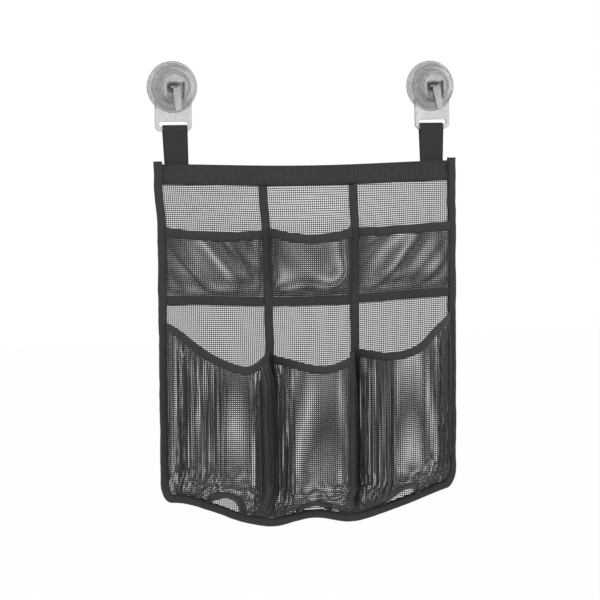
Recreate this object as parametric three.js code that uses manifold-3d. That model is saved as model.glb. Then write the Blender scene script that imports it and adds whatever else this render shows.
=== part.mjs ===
// Suction shower caddy: a see-through mesh organiser with six pockets, hung by two webbing loops
// from two lever-locked suction cups. Millimetres. +X right, +Y into the wall, +Z up.
// The origin lies on the wall plane, midway between the two cups' axes.
// "Depth" is the distance from the wall towards the viewer, so a point's y is minus its depth.
import * as THREE from "three";
import { mergeVertices } from "three/addons/utils/BufferGeometryUtils.js";
import Module from "manifold-3d";

const wasm = await Module();
wasm.setup();

// Clearances and working values
const gap = 0.3; // between neighbouring pieces
const overrun = 4; // how far a cutting tool runs past the face that it cuts
const roundSegments = 32;
const smallSegments = 16;

// Suction cup, from the wall outwards
const cup = { spacing: 333.4, rightTurnDegrees: 4, rightPlateDegrees: 1.2 };
const pad = {
  radius: 31.5,
  edge: 0.8, // thickness at the free rim
  lipInner: 27.4, // where the thin lip meets the thick disc
  lipThickness: 1.7,
  sealInner: 23, // inner radius of the flat ring that sits on the wall
  vacuumDepth: 1.8,
  vacuumFlat: 9, // radius of the cavity's flat middle
  thickness: 3.6,
  bossRadius: 11.5,
  bossHeight: 7.4,
};
const stud = {
  discRadius: 8,
  discThickness: 1.6,
  discDepth: 3.9,
  neckRadius: 3.6,
  tongueWidth: 3,
  tongueHeight: 7,
};
const pin = { radius: 1.5, leftEnd: -5.2 };
const plate = {
  thickness: 3,
  width: 46,
  headSwell: 4, // how far the round head stands out past the tab's sides
  holeRadius: 16,
  cornerRadius: 7,
  barHeight: 6.2,
  barDrop: 51.3, // from the cup's axis down to the middle of the strap bar
  slotWidth: 36,
  slotHeight: 5.8,
  slotCorner: 2.6,
};
const cap = {
  rimRadius: 28.2,
  rimHeight: 1.6,
  ridgeCount: 3,
  ridgeRise: 1.7,
  ridgeRun: 1.4,
  ridgeInnerRadius: 21.2,
  faceRadius: 17.4,
  height: 15.6, // from the foot to the top face
  faceLip: 0.8,
  faceLipWidth: 1.5,
  wall: 2,
  collarRadius: 15.4,
  collarWall: 1.8,
  collarReach: 2.6, // how far the collar reaches into the plate's hole
  floorThickness: 2,
  wellWidth: 22.6,
  wellTop: 5.6,
  wellBottom: -15,
  wellWall: 1.6,
  leverNotchClear: 0.6, // each side of the lever, where it crosses the cap's wall
};
const lever = {
  width: 9.4,
  offset: 1.5, // from the cup's axis to the middle of the lever
  camFlankDegrees: 45, // where the arm leaves the cam
  camRadius: 4.6,
  camShiftDepth: 1.1, // the cam's centre lies this far behind the pin
  camShiftDown: 1.4, // and this far below it
  kneeDrop: 8,
  bellyDrop: 18,
  tipDrop: 27.6,
  armFront: 5, // how far the arm's outer side stands in front of the pin, here and below
  bellyFront: 9,
  tipFront: 12.6,
  armThickness: 4.4,
  tipRadius: 2.2,
  tipHalfWidth: 3.9, // seen from the front, where the arm ends in a round tip
};

// Cloth and tape
const net = {
  thickness: 0.6,
  edgeInset: 2.2, // from the bag's outline to the net's edge, inside the binding
  bottomInset: 2.6,
  columns: 13,
  rows: 16,
  threadWidth: 2.6,
};
const tape = {
  thickness: 0.7,
  bindingWidth: 10,
  mouthWidth: 10.2,
  seamWidth: 12, // the tape under the shallow pockets
  neckWidth: 7,
  dividerWidth: 11.5,
  endRise: 3.4, // how far the side bindings stand above the band
};
const band = { height: 25.4, sag: 4, thickness: 0.7 };
const strap = {
  width: 30,
  thickness: 1.3,
  drop: 42.7,
  tail: 21,
  loopRadius: 3.75,
  leftLean: 2.4, // both straps run down a little to the right
  rightLean: 1.8,
};

// Bag outline, seen from the front; drops are measured from the band's top edge
const bag = {
  width: 390.4,
  shift: 3.1, // it hangs a little to the right of the cups
  middleColumn: 112, // from divider to divider
  middleShift: 2.4,
  bottomMiddleDrop: 441.4,
  bottomDividerDrop: 450.3,
  bottomSideDrop: 419.3,
  cornerReach: 14,
  cornerStartDrop: 391,
  bottomCurve: 1.25, // exponent of the slope from the right divider out to its corner
};
// Under the band the cloth draws in, to the right and down
const settle = { startDrop: 22, endDrop: 76, narrowing: 1.8, shift: 2.2, sag: 6.6, step: 14 };
// The left divider starts further left and runs in as it goes down; the seams beside it stay
const lean = { left: 5, endDrop: 250 };
const upper = {
  mouthDrops: [78.4, 76.4, 78.6],
  mouthSags: [4, 7, 0],
  seamDrop: 160.8,
  seamCover: 5.5,
  taper: 34,
  depths: [14, 30, 12],
};
// Tall pockets. Each mouth's drops are at even steps from its left end to its right end
const tall = {
  leftMouthDrops: [196, 221, 238, 243.5, 229],
  middleMouthDrops: [234.5, 240.5, 243.8, 239.5, 234],
  rightMouthDrops: [231, 233.6, 227, 206.5, 194],
  depths: [54, 56, 54],
  taper: 44,
  skew: 6, // the outer pockets bulge a little towards the middle
  neckHalfWidths: [26, 34, 26],
  neckHeights: [27, 18, 30],
  neckShifts: [3.9, -1.3, -2], // from the middle of each pocket
};
const mouthDrops = [tall.leftMouthDrops, tall.middleMouthDrops, tall.rightMouthDrops];
const cloth = {
  seamClear: 2.2, // between a pocket's foot at the side and the tape beside it
  plump: 2.4, // 2 is an oval plan, more is fuller
  rowBunching: 1.3, // brings the rows closer together near the foot
  pocketSteps: 12,
  neckSteps: 6,
  tapeSteps: 16,
  upperSteps: 8,
  rows: 10,
  upperRows: 6,
  sideSteps: 16,
  cornerSteps: 6,
  footSteps: 28,
};

// Derived planes, as depths from the wall
const plateBack = pad.thickness + gap;
const plateFront = plateBack + plate.thickness;
const capFoot = plateFront + gap;
const capFace = capFoot + cap.height;
const barDepth = plateBack + plate.thickness / 2;
const camReach = lever.camRadius + lever.camShiftDepth;
const wellFloor = capFoot + cap.wall + cap.floorThickness;
const pinDepth = wellFloor + gap + camReach;
const rearLegDepth = barDepth - strap.loopRadius - strap.thickness / 2;
const frontLegDepth = rearLegDepth + strap.thickness + gap;
const rearBandDepth = frontLegDepth + strap.thickness / 2 + gap + band.thickness / 2;
const netDepth = rearBandDepth + band.thickness / 2 + gap + net.thickness / 2;
const frontBandDepth = netDepth + net.thickness / 2 + gap + band.thickness / 2;
const foldOffset = net.thickness / 2 + gap + tape.thickness / 2; // a fold's middle from its cloth's
const pocketDepth = netDepth + net.thickness / 2 + gap + tape.thickness / 2 + foldOffset;
const coverDepth = pocketDepth + foldOffset + tape.thickness + gap; // side bindings and dividers
const rearCoverDepth = rearBandDepth - band.thickness / 2 - gap - tape.thickness / 2;

// Derived heights and widths
const barZ = -plate.barDrop;
const bandTopZ = barZ - strap.drop;
const halfWidth = bag.width / 2;
const dividerX = {
  left: bag.middleShift - bag.middleColumn / 2,
  right: bag.middleShift + bag.middleColumn / 2,
};
const bindingInnerX = halfWidth - tape.bindingWidth;
const strapX = cup.spacing / 2 - (plate.slotWidth - strap.width - plate.slotCorner) / 2;
const rightBarShift = plate.barDrop * Math.sin(THREE.MathUtils.degToRad(cup.rightPlateDegrees));
const cornerX = halfWidth - bag.cornerReach;
const leverLeft = lever.offset - lever.width / 2;
const leverRight = lever.offset + lever.width / 2;

// Turns a closed geometry into a manifold solid, and back again.
function toSolid(geometry) {
  const bare = geometry.clone();
  bare.deleteAttribute("normal");
  bare.deleteAttribute("uv");
  const merged = mergeVertices(bare, 1e-4);
  return new wasm.Manifold(
    new wasm.Mesh({
      numProp: 3,
      vertProperties: merged.attributes.position.array,
      triVerts: new Uint32Array(merged.index.array),
    }),
  );
}

function toGeometry(solid) {
  const mesh = solid.getMesh();
  const places = new Float32Array(mesh.numVert * 3);
  for (let i = 0; i < mesh.numVert; i++) {
    places.set(mesh.vertProperties.subarray(i * mesh.numProp, i * mesh.numProp + 3), i * 3);
  }
  const geometry = new THREE.BufferGeometry();
  geometry.setAttribute("position", new THREE.BufferAttribute(places, 3));
  geometry.setIndex(new THREE.BufferAttribute(new Uint32Array(mesh.triVerts), 1));
  return shaded(geometry);
}

function shaded(geometry) {
  const flat = geometry.toNonIndexed();
  flat.computeVertexNormals();
  return flat;
}

// A box between two x, two depths and two z.
function block(x0, x1, depth0, depth1, z0, z1, stepsAlong = 1, stepsAcross = 1) {
  const size = [x1 - x0, depth1 - depth0, z1 - z0];
  const box = new THREE.BoxGeometry(...size, stepsAcross, 1, stepsAlong);
  return box.translate((x0 + x1) / 2, -(depth0 + depth1) / 2, (z0 + z1) / 2);
}

// A body turned about the cup's axis from [radius, depth] points, listed from the wall's side out
// round the rim and back in on the viewer's side.
function turned(profile, segments = roundSegments) {
  const points = profile.map(([radius, depth]) => new THREE.Vector2(radius, -depth));
  return new THREE.LatheGeometry(points.reverse(), segments);
}

// A flat outline in x and z, given a thickness from one depth to another.
function plateOf(shape, depth0, depth1) {
  const geometry = new THREE.ExtrudeGeometry(shape, {
    depth: depth1 - depth0,
    bevelEnabled: false,
    curveSegments: 8,
  });
  return geometry.rotateX(Math.PI / 2).translate(0, -depth0, 0);
}

// A round bar along x, from one x to another.
function rodAlongX(radius, x0, x1, depth, z) {
  const rod = new THREE.CylinderGeometry(radius, radius, x1 - x0, smallSegments);
  return rod.rotateZ(Math.PI / 2).translate((x0 + x1) / 2, -depth, z);
}

// Adds a quad's two faces, split along its shorter diagonal.
function addQuad(faces, places, p, q, r, s) {
  const corner = (n) => new THREE.Vector3().fromArray(places, 3 * n);
  if (corner(p).distanceTo(corner(r)) <= corner(q).distanceTo(corner(s))) {
    faces.push(p, q, r, p, r, s);
  } else {
    faces.push(p, q, s, q, r, s);
  }
}

// A closed body from a cross-section carried along a row of frames. Each frame has an origin and
// two directions, a and b; each section point is [along a, along b].
function swept(frames, section) {
  const flat = section.map(([alongA, alongB]) => new THREE.Vector2(alongA, alongB));
  if (THREE.ShapeUtils.isClockWise(flat)) flat.reverse();
  const count = flat.length;
  const places = [];
  for (const { origin, a, b } of frames) {
    for (const spot of flat) {
      const point = origin.clone().addScaledVector(a, spot.x).addScaledVector(b, spot.y);
      places.push(point.x, point.y, point.z);
    }
  }
  const faces = [];
  for (let i = 0; i < frames.length - 1; i++) {
    for (let k = 0; k < count; k++) {
      const next = (k + 1) % count;
      const here = i * count;
      const there = here + count;
      addQuad(faces, places, here + k, here + next, there + next, there + k);
    }
  }
  const last = (frames.length - 1) * count;
  for (const [p, q, r] of THREE.ShapeUtils.triangulateShape(flat, [])) {
    faces.push(p, r, q, last + p, last + q, last + r);
  }
  return outward(places, faces);
}

// Builds the geometry, and turns every face round if the body came out inside out.
function outward(places, faces) {
  const geometry = new THREE.BufferGeometry();
  geometry.setAttribute("position", new THREE.Float32BufferAttribute(places, 3));
  let volume = 0;
  const corner = (n) => new THREE.Vector3().fromArray(places, 3 * n);
  for (let i = 0; i < faces.length; i += 3) {
    volume += corner(faces[i]).dot(corner(faces[i + 1]).cross(corner(faces[i + 2])));
  }
  const turnedFaces = volume > 0 ? faces : faces.slice().reverse();
  geometry.setIndex(turnedFaces);
  return shaded(geometry);
}

// A sheet with a thickness, from a grid of points: place(column, row) gives its middle.
function sheet(place, columns, rows, thickness) {
  const middle = [];
  for (let i = 0; i <= columns; i++) {
    middle.push([]);
    for (let j = 0; j <= rows; j++) {
      middle[i].push(place(i, j));
    }
  }
  const clamp = (value, top) => Math.min(Math.max(value, 0), top);
  const normalAt = (i, j) => {
    const across = middle[clamp(i + 1, columns)][j].clone().sub(middle[clamp(i - 1, columns)][j]);
    const up = middle[i][clamp(j + 1, rows)].clone().sub(middle[i][clamp(j - 1, rows)]);
    return across.cross(up).normalize();
  };
  const places = [];
  for (const side of [1, -1]) {
    for (let i = 0; i <= columns; i++) {
      for (let j = 0; j <= rows; j++) {
        const point = middle[i][j].clone().addScaledVector(normalAt(i, j), (side * thickness) / 2);
        places.push(point.x, point.y, point.z);
      }
    }
  }
  const layer = (columns + 1) * (rows + 1);
  const at = (i, j, side) => side * layer + i * (rows + 1) + j;
  const faces = [];
  const quad = (p, q, r, s) => addQuad(faces, places, p, q, r, s);
  for (let i = 0; i < columns; i++) {
    for (let j = 0; j < rows; j++) {
      quad(at(i, j, 0), at(i + 1, j, 0), at(i + 1, j + 1, 0), at(i, j + 1, 0));
      quad(at(i, j, 1), at(i, j + 1, 1), at(i + 1, j + 1, 1), at(i + 1, j, 1));
    }
  }
  for (let i = 0; i < columns; i++) {
    quad(at(i, 0, 0), at(i, 0, 1), at(i + 1, 0, 1), at(i + 1, 0, 0));
    quad(at(i, rows, 0), at(i + 1, rows, 0), at(i + 1, rows, 1), at(i, rows, 1));
  }
  for (let j = 0; j < rows; j++) {
    quad(at(0, j, 0), at(0, j + 1, 0), at(0, j + 1, 1), at(0, j, 1));
    quad(at(columns, j, 0), at(columns, j, 1), at(columns, j + 1, 1), at(columns, j + 1, 0));
  }
  return outward(places, faces);
}

// A flat net: a grid of cells, each with a hole, in the plane of one depth.
function lattice(place, columns, rows, thread, depth, thickness) {
  const places = [];
  const faces = [];
  const levels = [depth + thickness / 2, depth - thickness / 2];
  const add = (point, side) => places.push(point.x, -levels[side], point.y) / 3 - 1;
  const corners = [];
  for (let i = 0; i <= columns; i++) {
    corners.push([]);
    for (let j = 0; j <= rows; j++) {
      const point = place(i, j);
      corners[i].push([add(point, 0), add(point, 1), point]);
    }
  }
  const quad = (p, q, r, s) => faces.push(p, q, r, p, r, s);
  for (let i = 0; i < columns; i++) {
    for (let j = 0; j < rows; j++) {
      const outer = [corners[i][j], corners[i + 1][j], corners[i + 1][j + 1], corners[i][j + 1]];
      const [p, q, r, s] = outer.map((corner) => corner[2]);
      const u = thread / (2 * p.distanceTo(q));
      const v = thread / (2 * p.distanceTo(s));
      const within = (a, b) =>
        p.clone().lerp(q, a).lerp(s.clone().lerp(r, a), b);
      const inner = [within(u, v), within(1 - u, v), within(1 - u, 1 - v), within(u, 1 - v)];
      const ring = inner.map((point) => [add(point, 0), add(point, 1)]);
      for (let k = 0; k < 4; k++) {
        const n = (k + 1) % 4;
        quad(outer[k][0], outer[n][0], ring[n][0], ring[k][0]);
        quad(outer[k][1], ring[k][1], ring[n][1], outer[n][1]);
        quad(ring[k][0], ring[n][0], ring[n][1], ring[k][1]);
      }
    }
  }
  const wall = (p, q) => quad(q[0], p[0], p[1], q[1]);
  for (let i = 0; i < columns; i++) {
    wall(corners[i][0], corners[i + 1][0]);
    wall(corners[i + 1][rows], corners[i][rows]);
  }
  for (let j = 0; j < rows; j++) {
    wall(corners[0][j + 1], corners[0][j]);
    wall(corners[columns][j], corners[columns][j + 1]);
  }
  return outward(places, faces);
}

// The bag's outline. Its bottom edge hangs lowest under the dividers and turns up at the corners,
// in an S on the left and in a plain slope on the right.
function bottomZ(x) {
  const middle = bandTopZ - bag.bottomMiddleDrop;
  const low = bandTopZ - bag.bottomDividerDrop;
  const side = bandTopZ - bag.bottomSideDrop;
  const fromMiddle = Math.abs(x - bag.middleShift);
  const reach = bag.middleColumn / 2;
  if (fromMiddle <= reach) {
    return low + ((middle - low) * (1 + Math.cos((Math.PI * fromMiddle) / reach))) / 2;
  }
  const out = Math.abs(x);
  if (out <= cornerX) {
    const start = Math.abs(x < 0 ? dividerX.left : dividerX.right);
    const share = (out - start) / (cornerX - start);
    const bend = x < 0 ? THREE.MathUtils.smoothstep(share, 0, 1) : share ** bag.bottomCurve;
    return low + (side - low) * bend;
  }
  const cornerStart = bandTopZ - bag.cornerStartDrop;
  const share = Math.min((out - cornerX) / bag.cornerReach, 1);
  return cornerStart + (side - cornerStart) * Math.sqrt(1 - share * share);
}

// Where a cloth's lower edge runs, just inside the binding.
const clothFoot = (x) =>
  bottomZ((x * halfWidth) / (halfWidth - net.bottomInset)) + net.bottomInset;

const sagShare = (x) => Math.max(0, 1 - (x / halfWidth) ** 2) ** 2;
const bandSagAt = (x) => band.sag * sagShare(x);

// Draws a piece of the bag in, to the right and down under the band.
function settled(geometry) {
  const places = geometry.attributes.position;
  for (let i = 0; i < places.count; i++) {
    const x = places.getX(i);
    const z = places.getZ(i);
    const share = THREE.MathUtils.smoothstep(bandTopZ - z, settle.startDrop, settle.endDrop);
    const leaning = 1 - THREE.MathUtils.smoothstep(bandTopZ - z, 0, lean.endDrop);
    const reach = x < dividerX.left ? dividerX.left + outerSeam : bag.middleColumn;
    const near = 1 - THREE.MathUtils.smoothstep(Math.abs(x - dividerX.left), 0, reach);
    const drawn = share * (settle.shift - settle.narrowing * (x / halfWidth));
    places.setX(i, x + drawn - lean.left * leaning * near);
    places.setZ(i, z - share * settle.sag * sagShare(x));
  }
  geometry.computeVertexNormals();
  return geometry;
}

// A smooth curve through values at even steps, read at a share of the way.
function smoothThrough(values, share) {
  const spans = values.length - 1;
  const span = Math.min(Math.floor(share * spans), spans - 1);
  const t = share * spans - span;
  const [before, from, to, after] = [-1, 0, 1, 2].map(
    (step) => values[THREE.MathUtils.clamp(span + step, 0, spans)],
  );
  const leave = (to - before) / 2;
  const arrive = (after - from) / 2;
  return (
    from +
    leave * t +
    (3 * (to - from) - 2 * leave - arrive) * t ** 2 +
    (2 * (from - to) + leave + arrive) * t ** 3
  );
}

// Pocket plan: the stations across one pocket, each an x and a share of the pocket's full depth.
// Between the ends of a bottle-neck hole, the stations are the hole's own.
function stations(left, right, steps, skew, hole = []) {
  const from = left + cloth.seamClear;
  const to = right - cloth.seamClear;
  const half = (to - from) / 2;
  const offsets = [];
  for (let k = 0; k <= steps; k++) {
    const side = Math.cos((Math.PI * k) / steps);
    offsets.push(-Math.sign(side) * half * Math.abs(side) ** (2 / cloth.plump));
  }
  const holeOffsets = hole.map((x) => x - from - half);
  const clear = cloth.seamClear;
  const outside = offsets.filter(
    (offset) => offset < holeOffsets[0] - clear || offset > holeOffsets.at(-1) + clear,
  );
  const all = hole.length > 0 ? [...outside, ...holeOffsets].sort((p, q) => p - q) : offsets;
  return all.map((offset) => {
    const share = Math.max(0, 1 - (Math.abs(offset) / half) ** cloth.plump) ** (1 / cloth.plump);
    return { x: from + half + offset + skew * share, share };
  });
}

const rise = (height, taper) =>
  height <= 0 ? 0 : Math.sin((Math.PI / 2) * Math.min(height / taper, 1));

// The three columns, from left to right.
const halfTape = tape.dividerWidth / 2;
const columns = [
  { name: "left", left: -bindingInnerX, right: dividerX.left - halfTape, toMiddle: 1 },
  { name: "middle", left: dividerX.left + halfTape, right: dividerX.right - halfTape, toMiddle: 0 },
  { name: "right", left: dividerX.right + halfTape, right: bindingInnerX, toMiddle: -1 },
];
const outerSeam = halfWidth - net.edgeInset;
const seams = [
  [-outerSeam, dividerX.left - gap],
  [dividerX.left + gap, dividerX.right - gap],
  [dividerX.right + gap, outerSeam],
];

// A tall pocket's cloth: seam allowance, bulging front, seam allowance. Its foot rises in an arch
// round the bottle-neck hole, and everything is given by a place on a grid of stations and rows.
function tallPocket(index) {
  const column = columns[index];
  const neckX = (column.left + column.right) / 2 + tall.neckShifts[index];
  const footClear = tape.bindingWidth + 5 * gap;
  const neckHeight = tall.neckHeights[index];
  const neckHalfWidth = tall.neckHalfWidths[index];
  const neckReach = neckHalfWidth * Math.sqrt(1 - footClear / neckHeight);
  const hole = [];
  for (let k = 0; k <= cloth.neckSteps; k++) {
    hole.push(neckX + neckReach * ((2 * k) / cloth.neckSteps - 1));
  }
  const skew = tall.skew * column.toMiddle;
  const bulge = stations(column.left, column.right, cloth.pocketSteps, skew, hole);
  const [seamLeft, seamRight] = seams[index];
  const across = [{ x: seamLeft, share: 0 }, ...bulge, { x: seamRight, share: 0 }];
  const first = across.findIndex(({ x }) => x > hole[0] - cloth.seamClear);
  const mouthZ = (x) => {
    const share = (x - column.left) / (column.right - column.left);
    return bandTopZ - smoothThrough(mouthDrops[index], THREE.MathUtils.clamp(share, 0, 1));
  };
  const holeRise = (i) => {
    const share = (2 * (i - first)) / cloth.neckSteps - 1;
    return neckHeight * (1 - ((share * neckReach) / neckHalfWidth) ** 2);
  };
  const inHole = (i) => i >= first && i <= first + cloth.neckSteps;
  const place = (i, j) => {
    const { x, share } = across[i];
    const foot = bottomZ(x) + footClear;
    const low = inHole(i) ? bottomZ(x) + holeRise(i) : clothFoot(x);
    const start = inHole(i) ? low + tape.neckWidth + gap : Math.max(foot, low + net.bottomInset);
    const run = ((j - 1) / (cloth.rows - 1)) ** cloth.rowBunching;
    const z = j === 0 ? low : start + (mouthZ(x) - start) * run;
    const out = tall.depths[index] * share * rise(z - foot, tall.taper);
    return new THREE.Vector3(x, -(pocketDepth + out), z);
  };
  return { place, columns: across.length - 1, rows: cloth.rows, first };
}

// A tape folded over a cloth's edge, from one station to another.
function foldedTape(pocket, row, width, from = 0, to = pocket.columns) {
  const frames = [];
  const inner = row === 0 ? 1 : row - 1;
  for (let i = from; i <= to; i++) {
    const origin = pocket.place(i, row);
    const before = pocket.place(Math.max(i - 1, 0), row);
    const along = pocket.place(Math.min(i + 1, pocket.columns), row).sub(before);
    const a = pocket.place(i, inner).sub(origin).normalize();
    frames.push({ origin, a, b: along.cross(a).normalize() });
  }
  return settled(swept(frames, foldSection(width)));
}

// The fold's cross-section: along a is down the cloth, along b is out of it.
function foldSection(width) {
  const inner = foldOffset - tape.thickness / 2;
  const outer = inner + tape.thickness;
  const top = -(gap + tape.thickness);
  return [
    [top, -outer],
    [top, outer],
    [width, outer],
    [width, inner],
    [-gap, inner],
    [-gap, -inner],
    [width, -inner],
    [width, -outer],
  ];
}

// The upper pockets are one strip of net, sewn down along the dividers.
function upperPocket() {
  const bulges = columns.flatMap((column, index) =>
    stations(column.left, column.right, cloth.upperSteps, 0).map((station) => ({
      ...station,
      depth: upper.depths[index],
      high: bandTopZ - upper.mouthDrops[index] - upper.mouthSags[index] * station.share,
    })),
  );
  const across = [{ ...bulges[0], x: -outerSeam }, ...bulges, { ...bulges.at(-1), x: outerSeam }];
  const foot = bandTopZ - upper.seamDrop + gap;
  const place = (i, j) => {
    const { x, share, depth, high } = across[i];
    const run = ((j - 1) / (cloth.upperRows - 1)) ** cloth.rowBunching;
    const z = j === 0 ? foot - upper.seamCover : foot + (high - foot) * run;
    return new THREE.Vector3(x, -(pocketDepth + depth * share * rise(z - foot, upper.taper)), z);
  };
  return { place, columns: across.length - 1, rows: cloth.upperRows };
}

const pocketNet = (pocket) =>
  settled(sheet(pocket.place, pocket.columns, pocket.rows, net.thickness));

function upperSeamTape() {
  const top = bandTopZ - upper.seamDrop;
  const near = pocketDepth + foldOffset - tape.thickness / 2;
  const far = near + tape.thickness;
  const steps = cloth.tapeSteps;
  return settled(block(-outerSeam, outerSeam, near, far, top - tape.seamWidth, top, 1, steps));
}

function backNet() {
  const place = (i, j) => {
    const x = -outerSeam + (2 * outerSeam * i) / net.columns;
    const high = bandTopZ - net.edgeInset - bandSagAt(x);
    const low = clothFoot(x);
    return new THREE.Vector2(x, low + ((high - low) * j) / net.rows);
  };
  return settled(lattice(place, net.columns, net.rows, net.threadWidth, netDepth, net.thickness));
}

// Edge bindings: a folded tape round the outline, open towards the inside of the bag.
function coverSection() {
  const front = coverDepth + tape.thickness / 2;
  const back = rearCoverDepth - tape.thickness / 2;
  const web = tape.thickness;
  return [
    [0, back],
    [0, front],
    [tape.bindingWidth, front],
    [tape.bindingWidth, front - tape.thickness],
    [web, front - tape.thickness],
    [web, back + tape.thickness],
    [tape.bindingWidth, back + tape.thickness],
    [tape.bindingWidth, back],
  ];
}

function outlineFrames(points, inwardSign) {
  return points.map(([x, z], i) => {
    const before = points[Math.max(i - 1, 0)];
    const after = points[Math.min(i + 1, points.length - 1)];
    const along = new THREE.Vector3(after[0] - before[0], 0, after[1] - before[1]).normalize();
    const inward = new THREE.Vector3(-along.z, 0, along.x).multiplyScalar(inwardSign);
    return { origin: new THREE.Vector3(x, 0, z), a: inward, b: new THREE.Vector3(0, -1, 0) };
  });
}

function cornerPoint(side, k) {
  const angle = (Math.PI / 2) * (k / cloth.cornerSteps);
  const x = side * (cornerX + bag.cornerReach * Math.cos(angle));
  return [x, bottomZ(x)];
}

function footPoint(k) {
  const reach = cornerX - gap;
  const x = -reach + (2 * reach * k) / cloth.footSteps;
  return [x, bottomZ(x)];
}

// Where the side and bottom bindings meet, both end faces lean as the outline does there.
function sideBinding(side) {
  const points = [[side * halfWidth, bandTopZ + tape.endRise]];
  for (let k = 0; k < cloth.sideSteps; k++) {
    points.push([side * halfWidth, bandTopZ - settle.startDrop - settle.step * k]);
  }
  for (let k = 0; k <= cloth.cornerSteps; k++) {
    points.push(cornerPoint(side, k));
  }
  points.push(footPoint(side < 0 ? 1 : cloth.footSteps - 1));
  return settled(swept(outlineFrames(points, -side).slice(0, -1), coverSection()));
}

function bottomBinding() {
  const points = [cornerPoint(-1, cloth.cornerSteps - 1)];
  for (let k = 0; k <= cloth.footSteps; k++) {
    points.push(footPoint(k));
  }
  points.push(cornerPoint(1, cloth.cornerSteps - 1));
  return settled(swept(outlineFrames(points, 1).slice(1, -1), coverSection()));
}

function dividerTape(x) {
  const top = bandTopZ - band.height - bandSagAt(x) - gap;
  const bottom = bottomZ(x) + tape.bindingWidth + 5 * gap;
  const near = coverDepth - tape.thickness / 2;
  const half = tape.dividerWidth / 2;
  return settled(block(x - half, x + half, near, near + tape.thickness, bottom, top, cloth.tapeSteps));
}

function bandTape(depth, steps = 12) {
  const half = band.thickness / 2;
  const frames = [];
  for (let k = 0; k <= steps; k++) {
    const x = -outerSeam + (2 * outerSeam * k) / steps;
    const origin = new THREE.Vector3(x, -depth, bandTopZ - bandSagAt(x));
    frames.push({ origin, a: new THREE.Vector3(0, 0, -1), b: new THREE.Vector3(0, -1, 0) });
  }
  const section = [[0, -half], [0, half], [band.height, half], [band.height, -half]];
  return swept(frames, section);
}

// A webbing loop: up behind the bar, over it, down in front, and both tails behind the band.
function strapLoop(side, bends = 8) {
  const half = strap.width / 2;
  const radius = strap.loopRadius + strap.thickness / 2;
  const tailZ = bandTopZ - strap.tail;
  const path = [[rearLegDepth, tailZ], [rearLegDepth, bandTopZ]];
  for (let k = 0; k <= bends; k++) {
    const angle = (Math.PI * k) / bends;
    path.push([barDepth - radius * Math.cos(angle), barZ + radius * Math.sin(angle)]);
  }
  path.push([frontLegDepth, bandTopZ + 2 * strap.thickness], [frontLegDepth, tailZ]);
  const frames = path.map(([depth, z], i) => {
    const before = path[Math.max(i - 1, 0)];
    const after = path[Math.min(i + 1, path.length - 1)];
    const along = new THREE.Vector3(0, -(after[0] - before[0]), after[1] - before[1]).normalize();
    const flat = new THREE.Vector3(1, 0, 0);
    const way = THREE.MathUtils.clamp((barZ - z) / strap.drop, 0, 1);
    const x = side < 0 ? strap.leftLean * way - strapX : strapX + rightBarShift + strap.rightLean * way;
    return { origin: new THREE.Vector3(x, -depth, z), a: flat, b: flat.clone().cross(along) };
  });
  const thick = strap.thickness / 2;
  return swept(frames, [[-half, -thick], [half, -thick], [half, thick], [-half, thick]]);
}

// Cup pieces, each about its own axis, with the wall at depth 0.
function suctionPad() {
  const discTop = stud.discDepth + stud.discThickness + gap;
  return turned([
    [0, pad.vacuumDepth],
    [pad.vacuumFlat, pad.vacuumDepth],
    [pad.sealInner, 0],
    [pad.radius, 0],
    [pad.radius, pad.edge],
    [pad.lipInner, pad.lipThickness],
    [pad.lipInner, pad.thickness],
    [pad.bossRadius, pad.thickness],
    [pad.bossRadius, pad.bossHeight],
    [stud.neckRadius + gap, pad.bossHeight],
    [stud.neckRadius + gap, discTop],
    [stud.discRadius + gap, discTop],
    [stud.discRadius + gap, stud.discDepth - gap],
    [0, stud.discDepth - gap],
  ]);
}

function pullStud() {
  const discTop = stud.discDepth + stud.discThickness;
  const shank = toSolid(
    turned(
      [
        [0, stud.discDepth],
        [stud.discRadius, stud.discDepth],
        [stud.discRadius, discTop],
        [stud.neckRadius, discTop],
        [stud.neckRadius, wellFloor],
        [0, wellFloor],
      ],
      smallSegments,
    ),
  );
  const half = stud.tongueHeight / 2;
  const wide = stud.tongueWidth / 2;
  const tongue = toSolid(block(-wide, wide, wellFloor - overrun, pinDepth, -half, half));
  const end = toSolid(rodAlongX(half, -wide, wide, pinDepth, 0));
  const hole = toSolid(rodAlongX(pin.radius + gap, -wide - overrun, wide + overrun, pinDepth, 0));
  return toGeometry(shank.add(tongue).add(end).subtract(hole));
}

function leverPin() {
  return rodAlongX(pin.radius, pin.leftEnd, leverRight, pinDepth, 0);
}

function strapPlate() {
  const half = plate.width / 2;
  const headRadius = half + plate.headSwell;
  const r = plate.cornerRadius;
  const bottom = barZ - plate.barHeight / 2;
  const meet = Math.acos(half / headRadius);
  const shape = new THREE.Shape();
  shape.absarc(0, 0, headRadius, -meet, Math.PI + meet, false);
  shape.lineTo(-half, bottom + r);
  shape.absarc(-half + r, bottom + r, r, Math.PI, 1.5 * Math.PI, false);
  shape.lineTo(half - r, bottom);
  shape.absarc(half - r, bottom + r, r, -Math.PI / 2, 0, false);
  const hole = new THREE.Path();
  hole.absarc(0, 0, plate.holeRadius, 0, 2 * Math.PI, true);
  const slot = new THREE.Path();
  const low = barZ + plate.barHeight / 2;
  const high = low + plate.slotHeight;
  const reach = plate.slotWidth / 2;
  const c = plate.slotCorner;
  slot.moveTo(-reach + c, low);
  slot.absarc(-reach + c, high - c, c, Math.PI, Math.PI / 2, true);
  slot.absarc(reach - c, high - c, c, Math.PI / 2, 0, true);
  slot.absarc(reach - c, low + c, c, 0, -Math.PI / 2, true);
  slot.absarc(-reach + c, low + c, c, -Math.PI / 2, -Math.PI, true);
  slot.closePath();
  shape.holes.push(hole, slot);
  return plateOf(shape, plateBack, plateFront);
}

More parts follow.
